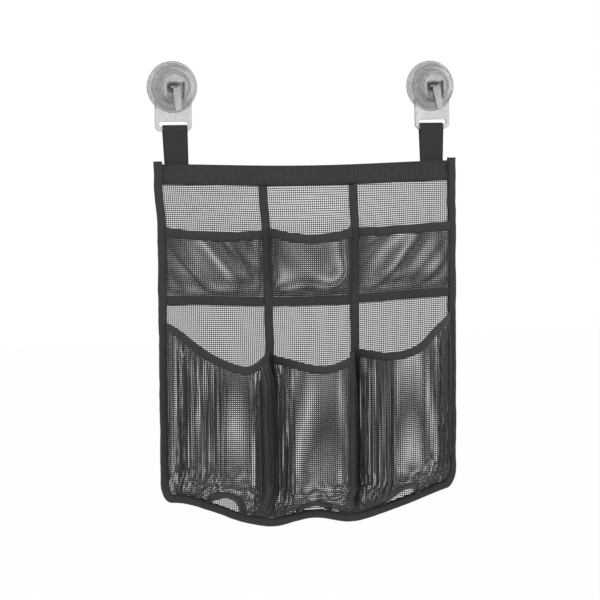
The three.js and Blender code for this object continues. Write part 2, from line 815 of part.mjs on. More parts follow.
// The cap's outer profile: a rim, three shallow ridges, a cone and a lipped round face.
function capProfile() {
  const points = [
    [cap.rimRadius, capFoot],
    [cap.rimRadius, capFoot + cap.rimHeight],
  ];
  for (let k = 1; k <= cap.ridgeCount; k++) {
    const share = k / cap.ridgeCount;
    const radius = cap.rimRadius + (cap.ridgeInnerRadius - cap.rimRadius) * share;
    const depth = capFoot + cap.rimHeight + cap.ridgeRise * k;
    points.push([radius + cap.ridgeRun, depth - cap.ridgeRise / 3], [radius, depth]);
  }
  points.push(
    [cap.faceRadius + cap.faceLip, capFace - cap.faceLip],
    [cap.faceRadius, capFace],
    [cap.faceRadius - cap.faceLipWidth, capFace],
    [cap.faceRadius - cap.faceLipWidth, capFace - cap.faceLip],
    [0, capFace - cap.faceLip],
  );
  return points;
}

function lockingCap() {
  const outer = toSolid(turned([[0, capFoot], ...capProfile()]));
  const crown = capFace - cap.faceLip - cap.wall;
  const hollow = toSolid(
    turned([
      [0, capFoot - overrun],
      [cap.rimRadius - cap.wall, capFoot - overrun],
      [cap.rimRadius - cap.wall, capFoot + cap.rimHeight / 2],
      [cap.ridgeInnerRadius - cap.wall, capFoot + cap.rimHeight / 2 + cap.ridgeRise * cap.ridgeCount],
      [cap.faceRadius - cap.wall, crown],
      [0, crown],
    ]),
  );
  const half = cap.wellWidth / 2;
  const outerHalf = half + cap.wellWall;
  const wellFoot = wellFloor - cap.floorThickness;
  const wellLow = cap.wellBottom - cap.wellWall;
  const wellHigh = cap.wellTop + cap.wellWall;
  const well = toSolid(
    block(-outerHalf, outerHalf, wellFoot, capFace, wellLow, wellHigh),
  ).intersect(outer);
  const recess = toSolid(
    block(-half, half, wellFloor, capFace + overrun, cap.wellBottom, cap.wellTop),
  );
  const collar = toSolid(
    turned([
      [cap.collarRadius - cap.collarWall, capFoot - cap.collarReach],
      [cap.collarRadius, capFoot - cap.collarReach],
      [cap.collarRadius, wellFoot + cap.floorThickness / 2],
      [cap.collarRadius - cap.collarWall, wellFoot + cap.floorThickness / 2],
      [cap.collarRadius - cap.collarWall, capFoot - cap.collarReach],
    ]),
  );
  const web = toSolid(
    turned([
      [0, wellFoot],
      [cap.ridgeInnerRadius, wellFoot],
      [cap.ridgeInnerRadius, wellFoot + cap.floorThickness],
      [0, wellFoot + cap.floorThickness],
    ]),
  ).intersect(outer);
  const bore = toSolid(
    turned(
      [
        [0, wellFoot - overrun],
        [stud.neckRadius + gap, wellFoot - overrun],
        [stud.neckRadius + gap, wellFloor + overrun],
        [0, wellFloor + overrun],
      ],
      smallSegments,
    ),
  );
  const notch = toSolid(
    block(
      leverLeft - cap.leverNotchClear,
      leverRight + cap.leverNotchClear,
      pinDepth - gap,
      capFace + overrun,
      -cap.rimRadius,
      cap.wellBottom + overrun,
    ),
  );
  const shell = outer.subtract(hollow).add(well).add(web).add(collar);
  return toGeometry(shell.subtract(recess).subtract(bore).subtract(notch));
}

// The lever from the front: straight sides that draw in to a round tip.
function leverFace() {
  const half = lever.width / 2;
  const end = lever.tipHalfWidth;
  const endZ = end - lever.tipDrop - lever.tipRadius;
  const shape = new THREE.Shape();
  shape.moveTo(lever.offset + half, camReach + overrun);
  shape.lineTo(lever.offset - half, camReach + overrun);
  shape.lineTo(lever.offset - half, -lever.kneeDrop);
  shape.lineTo(lever.offset - end, endZ);
  shape.absarc(lever.offset, endZ, end, Math.PI, 2 * Math.PI, false);
  shape.lineTo(lever.offset + half, -lever.kneeDrop);
  shape.closePath();
  return plateOf(shape, wellFloor, pinDepth + lever.tipFront + overrun);
}

// The lever's side outline, in depth and z, with the cam round the pin at its top.
function leverOutline() {
  const camDepth = pinDepth - lever.camShiftDepth;
  const camZ = -lever.camShiftDown;
  const r = lever.camRadius;
  const shape = new THREE.Shape();
  const front = pinDepth + lever.armFront;
  const belly = pinDepth + lever.bellyFront;
  const tip = pinDepth + lever.tipFront;
  const flank = THREE.MathUtils.degToRad(lever.camFlankDegrees);
  shape.absarc(camDepth, camZ, r, 1.5 * Math.PI, flank, true);
  shape.quadraticCurveTo(front, camZ, front, -lever.kneeDrop);
  shape.quadraticCurveTo(belly, -lever.bellyDrop, tip, -lever.tipDrop);
  shape.absarc(tip - lever.tipRadius, -lever.tipDrop, lever.tipRadius, 0, -Math.PI, true);
  shape.quadraticCurveTo(
    belly - lever.armThickness,
    -lever.bellyDrop,
    front - lever.armThickness,
    -lever.kneeDrop,
  );
  shape.closePath();
  return shape;
}

function lockLever() {
  const arm = new THREE.ExtrudeGeometry(leverOutline(), {
    depth: lever.width,
    bevelEnabled: false,
    curveSegments: 8,
  });
  // The outline's x is the depth and its y is z, so the body is turned to run along x.
  arm.rotateX(Math.PI / 2).rotateZ(-Math.PI / 2).translate(leverRight, 0, 0);
  const body = toSolid(arm).intersect(toSolid(leverFace()));
  const slotHalf = stud.tongueWidth / 2 + gap;
  const reach = stud.tongueHeight / 2 + 2 * gap;
  const throat = toSolid(rodAlongX(reach, -slotHalf, slotHalf, pinDepth, 0));
  const back = toSolid(
    block(-slotHalf, slotHalf, wellFloor - overrun, pinDepth, -reach, camReach + overrun),
  );
  const top = toSolid(
    block(-slotHalf, slotHalf, wellFloor - overrun, pinDepth + reach, 0, camReach + overrun),
  );
  const hole = toSolid(
    rodAlongX(pin.radius + gap, leverLeft - overrun, leverRight + overrun, pinDepth, 0),
  );
  return toGeometry(body.subtract(throat).subtract(back).subtract(top).subtract(hole));
}

// Finishes
const smokePlastic = { color: 0xa3a3a5, roughness: 0.18, metalness: 0 };
const clearPlastic = { color: 0xc9c9cb, roughness: 0.15, metalness: 0 };
const softVinyl = { color: 0xb4b4b6, roughness: 0.35, metalness: 0 };
const blackNet = { color: 0x3c3c40, roughness: 0.8, metalness: 0 };
const blackTape = { color: 0x2a2a2c, roughness: 0.85, metalness: 0 };
const steel = { color: 0xb9bcc0, roughness: 0.3, metalness: 1 };

function piece(name, geometry, finish) {
  const mesh = new THREE.Mesh(geometry, new THREE.MeshStandardMaterial(finish));
  mesh.name = name;
  return mesh;
}

function suctionCup(name, x, turnDegrees, plateDegrees) {
  const whole = new THREE.Group();
  whole.position.x = x;
  whole.add(piece(`${name}_suction_pad`, suctionPad(), softVinyl));
  const hanger = piece(`${name}_strap_plate`, strapPlate(), clearPlastic);
  hanger.rotation.y = -THREE.MathUtils.degToRad(plateDegrees);
  whole.add(hanger);
  const lock = new THREE.Group();
  lock.rotation.y = -THREE.MathUtils.degToRad(turnDegrees);
  lock.add(piece(`${name}_locking_cap`, lockingCap(), smokePlastic));
  lock.add(piece(`${name}_pull_stud`, pullStud(), clearPlastic));
  lock.add(piece(`${name}_lever_pin`, leverPin(), steel));
  lock.add(piece(`${name}_lock_lever`, lockLever(), smokePlastic));
  whole.add(lock);
  return whole;
}

function hangingBag() {
  const whole = new THREE.Group();
  whole.position.x = bag.shift;
  whole.add(piece("back_net", backNet(), blackNet));
  whole.add(piece("top_band_front", bandTape(frontBandDepth), blackTape));
  whole.add(piece("top_band_rear", bandTape(rearBandDepth), blackTape));
  const shallow = upperPocket();
  whole.add(piece("upper_pocket_net", pocketNet(shallow), blackNet));
  const shallowMouth = foldedTape(shallow, shallow.rows, tape.mouthWidth);
  whole.add(piece("upper_pocket_binding", shallowMouth, blackTape));
  whole.add(piece("upper_pocket_seam_tape", upperSeamTape(), blackTape));
  columns.forEach((column, index) => {
    const pocket = tallPocket(index);
    const mouth = foldedTape(pocket, pocket.rows, tape.mouthWidth);
    const neck = foldedTape(pocket, 0, tape.neckWidth, pocket.first, pocket.first + cloth.neckSteps);
    whole.add(piece(`${column.name}_tall_pocket_net`, pocketNet(pocket), blackNet));
    whole.add(piece(`${column.name}_tall_pocket_binding`, mouth, blackTape));
    whole.add(piece(`${column.name}_neck_hole_binding`, neck, blackTape));
  });
  whole.add(piece("bottom_binding", bottomBinding(), blackTape));
  for (const [name, side] of [["left", -1], ["right", 1]]) {
    whole.add(piece(`${name}_side_binding`, sideBinding(side), blackTape));
    whole.add(piece(`${name}_divider_tape`, dividerTape(dividerX[name]), blackTape));
  }
  return whole;
}

const caddy = new THREE.Group();
caddy.add(suctionCup("left", -cup.spacing / 2, 0, 0));
caddy.add(suctionCup("right", cup.spacing / 2, cup.rightTurnDegrees, cup.rightPlateDegrees));
caddy.add(piece("left_strap", strapLoop(-1), blackTape));
caddy.add(piece("right_strap", strapLoop(1), blackTape));
caddy.add(hangingBag());

export default caddy;
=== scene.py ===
# Suction shower caddy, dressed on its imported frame. Metres, +X right, +Y into the wall, +Z up.
# "Depth" is the distance from the wall towards the viewer, so a point's y is minus its depth.
import math
from bisect import bisect_right

import bmesh
import bpy
from mathutils import Matrix, Vector, noise


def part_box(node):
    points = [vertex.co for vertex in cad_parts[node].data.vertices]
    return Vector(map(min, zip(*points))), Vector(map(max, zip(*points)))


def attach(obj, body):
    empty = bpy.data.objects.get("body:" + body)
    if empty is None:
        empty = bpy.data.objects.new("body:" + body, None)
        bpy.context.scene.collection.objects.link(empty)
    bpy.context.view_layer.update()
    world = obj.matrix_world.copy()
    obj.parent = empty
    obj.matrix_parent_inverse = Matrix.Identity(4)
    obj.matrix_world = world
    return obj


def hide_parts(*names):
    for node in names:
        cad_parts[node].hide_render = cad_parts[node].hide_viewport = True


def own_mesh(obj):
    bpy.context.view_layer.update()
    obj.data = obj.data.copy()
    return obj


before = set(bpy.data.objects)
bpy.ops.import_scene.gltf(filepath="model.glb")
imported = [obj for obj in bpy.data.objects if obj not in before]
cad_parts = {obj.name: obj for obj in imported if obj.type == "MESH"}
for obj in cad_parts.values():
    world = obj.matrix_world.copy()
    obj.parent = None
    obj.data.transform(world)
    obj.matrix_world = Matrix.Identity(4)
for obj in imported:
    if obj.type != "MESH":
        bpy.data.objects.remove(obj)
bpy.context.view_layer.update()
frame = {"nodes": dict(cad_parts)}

# Camera, in degrees and metres, aimed at its target; the lens and the sensor are in millimetres.
camera = {
    "azimuth": -15.8, "elevation": 4.88, "roll": -0.42, "distance": 2.8,
    "target": (-0.0059, 0, -0.2664), "lens": 134.1, "sensor": 36,
}


def newObject(name, data):
    obj = bpy.data.objects.new(name, data)
    bpy.context.scene.collection.objects.link(obj)
    return obj


def makeCamera():
    turn, tilt = math.radians(camera["azimuth"]), math.radians(camera["elevation"])
    back = Vector((math.sin(turn) * math.cos(tilt), -math.cos(turn) * math.cos(tilt), math.sin(tilt)))
    data = bpy.data.cameras.new("camera")
    data.lens = camera["lens"]
    data.sensor_width = camera["sensor"]
    data.clip_end = 50
    eye = newObject("camera", data)
    eye.rotation_mode = "QUATERNION"
    roll = Matrix.Rotation(math.radians(camera["roll"]), 3, "Z").to_quaternion()
    eye.rotation_quaternion = back.to_track_quat("Z", "Y") @ roll
    eye.location = Vector(camera["target"]) + back * camera["distance"]
    bpy.context.scene.camera = eye


makeCamera()
print("camera placed")


# Materials. Patterns are sized in metres, by a rib's or a yarn's spacing or by the width of a spot.
spots = {"lint": 0.0014286, "patches": 0.016667, "fuzz": 0.0004, "flow": 0.0038462, "scratches": 0.00071429}


def hexColour(code):
    shares = [int(code[i : i + 2], 16) / 255 for i in (1, 3, 5)]
    linear = [s / 12.92 if s <= 0.04045 else ((s + 0.055) / 1.055) ** 2.4 for s in shares]
    return (*linear, 1)


def feed(tree, node, inputs):
    for key, value in inputs.items():
        if isinstance(value, bpy.types.NodeSocket):
            tree.links.new(value, node.inputs[key])
        else:
            node.inputs[key].default_value = value


def addNode(tree, kind, inputs=None, **settings):
    node = tree.nodes.new(kind)
    for key, value in settings.items():
        setattr(node, key, value)
    feed(tree, node, inputs or {})
    return node


def newMaterial(name):
    material = bpy.data.materials.new(name)
    material.use_nodes = True
    tree = material.node_tree
    return material, tree, tree.nodes["Principled BSDF"]


# Colours a shader from dark to light by a share, raises its relief from a height, and sets its other values.
def dress(tree, shader, share, dark, light, height, relief, strength, values):
    colour = addNode(tree, "ShaderNodeMix", {
        "Factor": share, "A": hexColour(dark), "B": hexColour(light)}, data_type="RGBA")
    bump = addNode(tree, "ShaderNodeBump", {"Height": height, "Distance": relief, "Strength": strength})
    feed(tree, shader, {"Base Color": colour.outputs["Result"], "Normal": bump.outputs["Normal"], **values})


# Webbing and tape: textured polyester, woven in ribs across its length, so light breaks into fine bars; the
# ribs are also painted into the colour, as painted shade in their troughs and painted highlight on their
# crests.
def wovenTape(name, dark, light, ribPitch, yarnPitch):
    material, tree, shader = newMaterial(name)
    place = addNode(tree, "ShaderNodeTexCoord").outputs["Object"]
    lint = addNode(tree, "ShaderNodeTexNoise", {"Vector": place, "Scale": 1 / spots["lint"], "Detail": 3})
    along = addNode(tree, "ShaderNodeUVMap", uv_map="weave").outputs["UV"]
    ribs, yarns = (
        addNode(
            tree, "ShaderNodeTexWave", {"Vector": along, "Scale": math.pi / 10 / pitch},
            wave_type="BANDS", bands_direction=way, wave_profile="SIN",
        ).outputs["Fac"]
        for way, pitch in (("X", ribPitch), ("Y", yarnPitch))
    )
    faint = addNode(tree, "ShaderNodeMapRange", {"Value": yarns, "To Min": 0.55, "To Max": 1})
    weave = addNode(tree, "ShaderNodeMath", {0: ribs, 1: faint.outputs[0]}, operation="MULTIPLY").outputs[0]
    worn = addNode(tree, "ShaderNodeMapRange", {
        "Value": lint.outputs["Fac"], "From Min": 0.3, "From Max": 0.7, "To Min": 0.35, "To Max": 1.2})
    # The rib height, scaled by lint, is painted as shade in the troughs and highlight on the crests.
    ribShadeAndWear = addNode(tree, "ShaderNodeMath", {0: weave, 1: worn.outputs[0]}, operation="MULTIPLY").outputs[0]
    dress(tree, shader, ribShadeAndWear, dark, light, weave, 0.0002, 1, {
        "Roughness": 0.78, "Sheen Weight": 0.08, "Sheen Roughness": 0.5})
    return material


# Net: black polyester monofilament, knitted and heat set, with a low plastic shine
def filament(name, dark, light, roughness):
    material, tree, shader = newMaterial(name)
    place = addNode(tree, "ShaderNodeTexCoord").outputs["Object"]
    patches, fuzz = (
        addNode(tree, "ShaderNodeTexNoise", {
            "Vector": place, "Scale": 1 / spots[name], "Detail": detail}).outputs["Fac"]
        for name, detail in (("patches", 3), ("fuzz", 1))
    )
    dress(tree, shader, patches, dark, light, fuzz, 0.00008, 1, {"Roughness": roughness})
    return material


# Clear plastic: injection-moulded polycarbonate or soft vinyl. Its faces are nearly clear, and its upright
# walls, which the eye looks along, are painted grey in blotches: painted shade for the dark reflections and
# refractions seen along them. Faint flow marks cloud both.
# The second colour, thick, is the painted shade on upright walls; the first is the plastic's own face colour.
def clearPlastic(name, faceTone, thick, roughness, ior, marks, clear=0.8):
    material, tree, shader = newMaterial(name)
    # The attribute "wall" is each face's share of painted shade.
    wall = addNode(tree, "ShaderNodeAttribute", attribute_name="wall").outputs["Fac"]
    place = addNode(tree, "ShaderNodeTexCoord").outputs["Object"]
    flow = addNode(tree, "ShaderNodeTexNoise", {
        "Vector": place, "Scale": 1 / spots["flow"], "Detail": 3}).outputs["Fac"]
    cloud = addNode(tree, "ShaderNodeMapRange", {
        "Value": flow, "From Min": 0.35, "From Max": 0.75, "To Max": 0.2})
    blotch = addNode(tree, "ShaderNodeMapRange", {
        "Value": flow, "From Min": 0.35, "From Max": 0.65, "To Min": 0.85, "To Max": 1.2})
    # depth is the painted shade share: upright wall in blotches, with the faint flow clouds added.
    depth = addNode(
        tree, "ShaderNodeMath", {0: wall, 1: blotch.outputs[0], 2: cloud.outputs[0]},
        operation="MULTIPLY_ADD", use_clamp=True,
    )
    dress(tree, shader, depth.outputs[0], faceTone, thick, flow, marks, 0.5, {
        "Roughness": roughness, "IOR": ior, "Transmission Weight": clear})
    return material


# Steel: plain bright drawn wire, cut to a pin, with fine turning marks
def drawnSteel(name):
    material, tree, shader = newMaterial(name)
    place = addNode(tree, "ShaderNodeTexCoord").outputs["Object"]
    scratches = addNode(tree, "ShaderNodeTexNoise", {
        "Vector": place, "Scale": 1 / spots["scratches"], "Detail": 2}).outputs["Fac"]
    dress(tree, shader, scratches, "#a9acb0", "#d4d6d9", scratches, 0.00002, 1, {
        "Metallic": 1, "Roughness": 0.28})
    return material


finish = {
    # Each clear plastic's second colour is its painted shade.
    "cap": clearPlastic("polycarbonate_cap", "#fcfcfd", "#707173", 0.1, 1.58, 0.0002),
    # The lever's plastic is a paler, less clear copy of the cap's: a painted highlight that lightens the
    # whole lever.
    "lever": clearPlastic("polycarbonate_lever_painted_highlight", "#fafafb", "#66676a", 0.14, 1.58, 0.0002, 0.65),
    "plate": clearPlastic("polycarbonate_plate", "#dfdfe0", "#434446", 0.12, 1.58, 0.00015),
    "pad": clearPlastic("soft_vinyl", "#e2e2e3", "#77787a", 0.2, 1.53, 0.0003),
    "steel": drawnSteel("drawn_steel"),
    "net": filament("polyester_net", "#2c2d30", "#45464a", 0.55),
    "thread": filament("sewing_thread", "#1d1e20", "#303134", 0.5),
    "tape": wovenTape("woven_binding_tape", "#1b1c1e", "#363739", 0.0014, 0.0013),
    "webbing": wovenTape("ribbed_webbing", "#0a0b0d", "#3e3f42", 0.0025, 0.0016),
    "strap": wovenTape("strap_webbing", "#131416", "#303134", 0.0025, 0.0016),
}
print("materials mixed:", len(finish))

# The bag's outline and the planes that its layers lie in
bag = {
    "width": 0.3904, "shift": 0.0031, "middleColumn": 0.112, "middleShift": 0.0024,
    "bottomMiddleDrop": 0.4414, "bottomDividerDrop": 0.4503, "bottomSideDrop": 0.4193, "bottomCurve": 1.25,
    "cornerReach": 0.014, "cornerStartDrop": 0.391, "edgeInset": 0.0022, "bottomInset": 0.0026,
    "bindingWidth": 0.010, "dividerWidth": 0.0115, "endRise": 0.0034,
    "tapeThickness": 0.0007, "foldOffset": 0.00095, "gap": 0.0003,
}
band = {"height": 0.0254, "sag": 0.004, "thickness": 0.0007}
settle = {"startDrop": 0.022, "endDrop": 0.076, "narrowing": 0.0018, "shift": 0.0022, "sag": 0.0066}
lean = {"left": 0.005, "endDrop": 0.250}


def planeOf(node):
    low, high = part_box(node)
    return -(low.y + high.y) / 2


plane = {
    "net": planeOf("back_net"),
    "frontBand": planeOf("top_band_front"),
    "rearBand": planeOf("top_band_rear"),
    "seamTape": planeOf("upper_pocket_seam_tape"),
    "cover": planeOf("left_divider_tape"),
    "binding": planeOf("bottom_binding"),
}
plane["pocket"] = plane["seamTape"] - bag["foldOffset"]
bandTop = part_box("top_band_front")[1].z
halfWidth = bag["width"] / 2
divider = {
    "left": bag["middleShift"] - bag["middleColumn"] / 2,
    "right": bag["middleShift"] + bag["middleColumn"] / 2,
}
bindingInner = halfWidth - bag["bindingWidth"]
cornerX = halfWidth - bag["cornerReach"]
outerSeam = halfWidth - bag["edgeInset"]


def clamp(value, low=0, high=1):
    return min(max(value, low), high)


def smoothStep(value, low, high):
    t = clamp((value - low) / (high - low))
    return t * t * (3 - 2 * t)


def spread(low, high, count):
    return [low + (high - low) * i / count for i in range(count + 1)]


def bottomZ(x):
    middle = bandTop - bag["bottomMiddleDrop"]
    low = bandTop - bag["bottomDividerDrop"]
    side = bandTop - bag["bottomSideDrop"]
    reach = bag["middleColumn"] / 2
    fromMiddle = abs(x - bag["middleShift"])
    if fromMiddle <= reach:
        return low + (middle - low) * (1 + math.cos(math.pi * fromMiddle / reach)) / 2
    if abs(x) <= cornerX:
        start = abs(divider["left"] if x < 0 else divider["right"])
        share = (abs(x) - start) / (cornerX - start)
        return low + (side - low) * (smoothStep(share, 0, 1) if x < 0 else share ** bag["bottomCurve"])
    cornerStart = bandTop - bag["cornerStartDrop"]
    share = min((abs(x) - cornerX) / bag["cornerReach"], 1)
    return cornerStart + (side - cornerStart) * math.sqrt(1 - share * share)


def clothFoot(x):
    return bottomZ(x * halfWidth / (halfWidth - bag["bottomInset"])) + bag["bottomInset"]


def sagShare(x):
    return max(0, 1 - (x / halfWidth) ** 2) ** 2


def bandSag(x):
    return band["sag"] * sagShare(x)


# Where a point of the flat bag comes to lie once it hangs: under the band it draws in, right and down.
def hung(x, depth, z):
    drop = bandTop - z
    share = smoothStep(drop, settle["startDrop"], settle["endDrop"])
    leaning = 1 - smoothStep(drop, 0, lean["endDrop"])
    reach = divider["left"] + outerSeam if x < divider["left"] else bag["middleColumn"]
    near = 1 - smoothStep(abs(x - divider["left"]), 0, reach)
    drawn = share * (settle["shift"] - settle["narrowing"] * x / halfWidth)
    return Vector((
        x + drawn - lean["left"] * leaning * near + bag["shift"],
        -depth,
        z - share * settle["sag"] * sagShare(x),
    ))


# Mesh tools
def meshFrom(bm):
    mesh = bpy.data.meshes.new("piece")
    bm.to_mesh(mesh)
    bm.free()
    return mesh


def link(name, mesh, material):
    obj = newObject(name, mesh)
    mesh.materials.clear()
    mesh.materials.append(material)
    return obj


# A piece goes with a body and stands for the nodes given; slotName is not used.
def ride(obj, body, slotName, *nodes):
    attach(obj, body)
    if nodes:
        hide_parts(*nodes)
    return obj


# left_lever_pin is dressed as leftLeverPin
def pieceName(node):
    first, *rest = node.split("_")
    return first + "".join(word.capitalize() for word in rest)


def apart(before, after):
    return (after - before).length


# How far each point of a line is from its start, along the line
def walk(points, step=math.dist):
    walked = [0]
    for before, after in zip(points, points[1:]):
        walked.append(walked[-1] + step(before, after))
    return walked


# Evenly spaced places along a walk: each is the span that it falls in, and its share of that span.
def evenly(walked, count):
    found, k = [], 0
    for goal in spread(0, walked[-1], count):
        while k < len(walked) - 2 and walked[k + 1] < goal:
            k += 1
        found.append((k, clamp((goal - walked[k]) / (walked[k + 1] - walked[k]))))
    return found


def between(before, after, share):
    return tuple(p + (q - p) * share for p, q in zip(before, after))


# A strip of tape: a grid laid along a row of frames, each an origin with two directions, a and b.
# The profile's points are distances along a and b, and the Solidify modifier gives the tape its thickness.
# It stands for the nodes given, or for the node of its own name.
def sewTape(name, frames, profile, *nodes, thickness=bag["tapeThickness"], material=finish["tape"]):
    along, across = len(frames) - 1, len(profile) - 1
    lengths, widths = walk([frame[0] for frame in frames]), walk(profile)
    bm = bmesh.new()
    weave = bm.loops.layers.uv.new("weave")
    bmesh.ops.create_grid(bm, x_segments=along, y_segments=across, size=1)
    cells = {v: (round((v.co.x + 1) / 2 * along), round((v.co.y + 1) / 2 * across)) for v in bm.verts}
    for face in bm.faces:
        for loop in face.loops:
            i, j = cells[loop.vert]
            loop[weave].uv = (lengths[i], widths[j])
    for vert, (i, j) in cells.items():
        origin, a, b = frames[i]
        vert.co = origin + a * profile[j][0] + b * profile[j][1]
    tape = link(pieceName(name), meshFrom(bm), material)
    tape.data.shade_smooth()
    wall = tape.modifiers.new("thickness", "SOLIDIFY")
    wall.thickness = thickness
    wall.offset = 0
    return ride(tape, "bag", "black_tape", *(nodes or [name]))


# Many thin closed tubes in one piece, one along each route, in groups of one radius each
def runThreads(name, groups, material):
    bm = bmesh.new()
    for radius, routes in groups:
        curve = bpy.data.curves.new(name, "CURVE")
        curve.dimensions = "3D"
        curve.bevel_depth = radius
        curve.bevel_resolution = 0
        curve.use_fill_caps = True
        for route in routes:
            spline = curve.splines.new("POLY")
            spline.points.add(len(route) - 1)
            for point, place in zip(spline.points, route):
                point.co = (*place, 1)
        wire = newObject(name, curve)
        tubes = bpy.data.meshes.new_from_object(wire.evaluated_get(bpy.context.evaluated_depsgraph_get()))
        bpy.data.objects.remove(wire)
        bpy.data.curves.remove(curve)
        bm.from_mesh(tubes)
        bpy.data.meshes.remove(tubes)
    bmesh.ops.remove_doubles(bm, verts=bm.verts, dist=1e-6)
    return link(name, meshFrom(bm), material)


net = {
    "pitch": 0.0025, "warpRadius": 0.00049, "weftRadius": 0.00056, "step": 0.0045,
    "flatStep": 0.02, "flatFine": 0.014, "seamClear": -0.001, "planSteps": 240,
}


# Points across a pocket at full depth, from seam to seam, evenly spaced along the cloth, and its girth
def pocketPlan(column, depth, skew, plumps):
    low, high = column["left"] + net["seamClear"], column["right"] - net["seamClear"]
    half = (high - low) / 2
    fine = []
    for angle in spread(0, math.pi, net["planSteps"]):
        side = math.cos(angle)
        power = 2 / (plumps[0] if side > 0 else plumps[1])
        share = math.sin(angle) ** power
        fine.append((low + half - math.copysign(abs(side) ** power, side) * half + skew * share, share))
    walked = walk([(x, depth * share) for x, share in fine])
    count = round(walked[-1] / net["pitch"]) * 2
    return [between(fine[k], fine[k + 1], t) for k, t in evenly(walked, count)], walked[-1]


def rise(height, taper):
    return 0 if height <= 0 else math.sin(math.pi / 2 * min(height / taper, 1))


def smoothThrough(values, share):
    spans = len(values) - 1
    span = min(int(share * spans), spans - 1)
    t = share * spans - span
    before, start, end, after = (values[clamp(span + step, 0, spans)] for step in (-1, 0, 1, 2))
    leave, arrive = (end - before) / 2, (after - start) / 2
    return (
        start + leave * t + (3 * (end - start) - 2 * leave - arrive) * t**2
        + (2 * (start - end) + leave + arrive) * t**3
    )


rightward, down, outward = Vector((1, 0, 0)), Vector((0, 0, -1)), Vector((0, -1, 0))
halfTape = bag["dividerWidth"] / 2
columns = [
    {"name": "left", "left": -bindingInner, "right": divider["left"] - halfTape, "toMiddle": 1},
    {
        "name": "middle", "toMiddle": 0,
        "left": divider["left"] + halfTape, "right": divider["right"] - halfTape,
    },
    {"name": "right", "left": divider["right"] + halfTape, "right": bindingInner, "toMiddle": -1},
]

tall = {
    "mouthDrops": [
        [0.196, 0.221, 0.238, 0.2435, 0.229],
        [0.2345, 0.2405, 0.2438, 0.2395, 0.234],
        [0.231, 0.2336, 0.227, 0.2065, 0.194],
    ],
    "depths": [0.054, 0.056, 0.054],
    "taper": 0.044,
    "skew": 0.006,
    "neckHalfWidths": [0.026, 0.034, 0.026],
    "neckHeights": [0.027, 0.018, 0.030],
    "neckShifts": [0.0039, -0.0013, -0.002],
    "footClear": 0.0115,
    "plumps": [(1.65, 1.85), (2.2, 2.1), (2.0, 1.6)],
    # on each side of each pocket: how deep the pleats are, and where they start and end, from the seam
    "pleats": [
        [(0.0047, 0.018, 0.104), (0.0082, 0.003, 0.072)],
        [(0.0038, 0.003, 0.064), (0.0038, 0.003, 0.066)],
        [(0.0038, 0.003, 0.084), (0.0034, 0.008, 0.076)],
    ],
    "pleatPitch": 0.008,
    "pleatFade": (0.003, 0.006, 0.03),
    "drift": 3.4,
    "sharpness": 0.6,
    "uneven": (0.85, 1.1, 0.7),
    "calm": (0.9, 0.04),
    "crumple": 0.0030,
    "crumpleFade": (0.014, 0.04, 0.08),
    "crumplesPerMetre": 75,
    "measuredBelowMiddle": 0.02,
    "tape": 0.0088,
    "archUpright": 0.35,
}


# One tall pocket: where each point of its cloth is, its low and high edges, and the part over its neck hole
def tallPocket(index):
    column, depth = columns[index], tall["depths"][index]
    skew = tall["skew"] * column["toMiddle"]
    plan, girth = pocketPlan(column, depth, skew, tall["plumps"][index])
    neckX = (column["left"] + column["right"]) / 2 + tall["neckShifts"][index]
    height, halfNeck = tall["neckHeights"][index], tall["neckHalfWidths"][index]
    neckReach = halfNeck * math.sqrt(1 - tall["footClear"] / height)

    def station(t):
        spot = clamp(t) * (len(plan) - 1)
        k = min(int(spot), len(plan) - 2)
        (x0, s0), (x1, s1) = plan[k], plan[k + 1]
        return *between(plan[k], plan[k + 1], spot - k), x1 - x0, depth * (s1 - s0)

    def fromNeck(t):
        x, share = station(t)[:2]
        return x - skew * share - neckX

    def low(t):
        x, off = station(t)[0], fromNeck(t)
        return bottomZ(x) + height * (1 - (off / halfNeck) ** 2) if abs(off) <= neckReach else clothFoot(x)

    def high(t):
        x = station(t)[0]
        share = clamp((x - column["left"]) / (column["right"] - column["left"]))
        return bandTop - smoothThrough(tall["mouthDrops"][index], share)

    def place(t, z):
        x, share, dx, dd = station(t)
        up = rise(z - bottomZ(x) - tall["footClear"], tall["taper"])
        fromSeam, side = min((t * girth, 0), ((1 - t) * girth, 1))
        deep, start, end = tall["pleats"][index][side]
        before, after, fade = tall["pleatFade"]
        gathered = smoothStep(fromSeam, start - before, start + after)
        gathered *= 1 - smoothStep(fromSeam, end - fade, end)
        calmShare, calmRun = tall["calm"]
        calm = 1 - calmShare * smoothStep(z, high(t) - calmRun, high(t))
        drift = tall["drift"] * noise.noise(Vector((t * 5, index * 7.3, z * 9)))
        wave = math.sin(math.tau * fromSeam / tall["pleatPitch"] + drift)
        wave = (1 - tall["sharpness"]) * wave + tall["sharpness"] * math.asin(wave) * 2 / math.pi
        seed = index * 5.1 + side * 9
        mean, swing, pace = tall["uneven"]
        along = fromSeam / tall["pleatPitch"] * pace
        uneven = mean + swing * noise.noise(Vector((along, seed, z * 5)))
        hem, first, last = tall["crumpleFade"]
        foot = smoothStep(z, low(t), low(t) + hem) * (1 - smoothStep(z - bottomZ(x), first, last))
        many = tall["crumplesPerMetre"]
        crease = tall["crumple"] * foot * noise.noise(Vector((x * many, index * 3.1, z * many)))
        fold = deep * uneven * wave * gathered * up * calm + crease
        long = math.hypot(dx, dd) or 1
        return hung(x - fold * dd / long, plane["pocket"] + depth * share * up + fold * dx / long, z + crease)

    return place, low, high, [t for t in spread(0, 1, 400) if abs(fromNeck(t)) <= neckReach]


# Places across a cloth that are one step apart on the cloth itself, folds and all, and its whole width
def evenSteps(place, z, step, samples=1200):
    walked = walk([place(t, z) for t in spread(0, 1, samples)], apart)
    return [(k + share) / samples for k, share in evenly(walked, round(walked[-1] / step))], walked[-1]


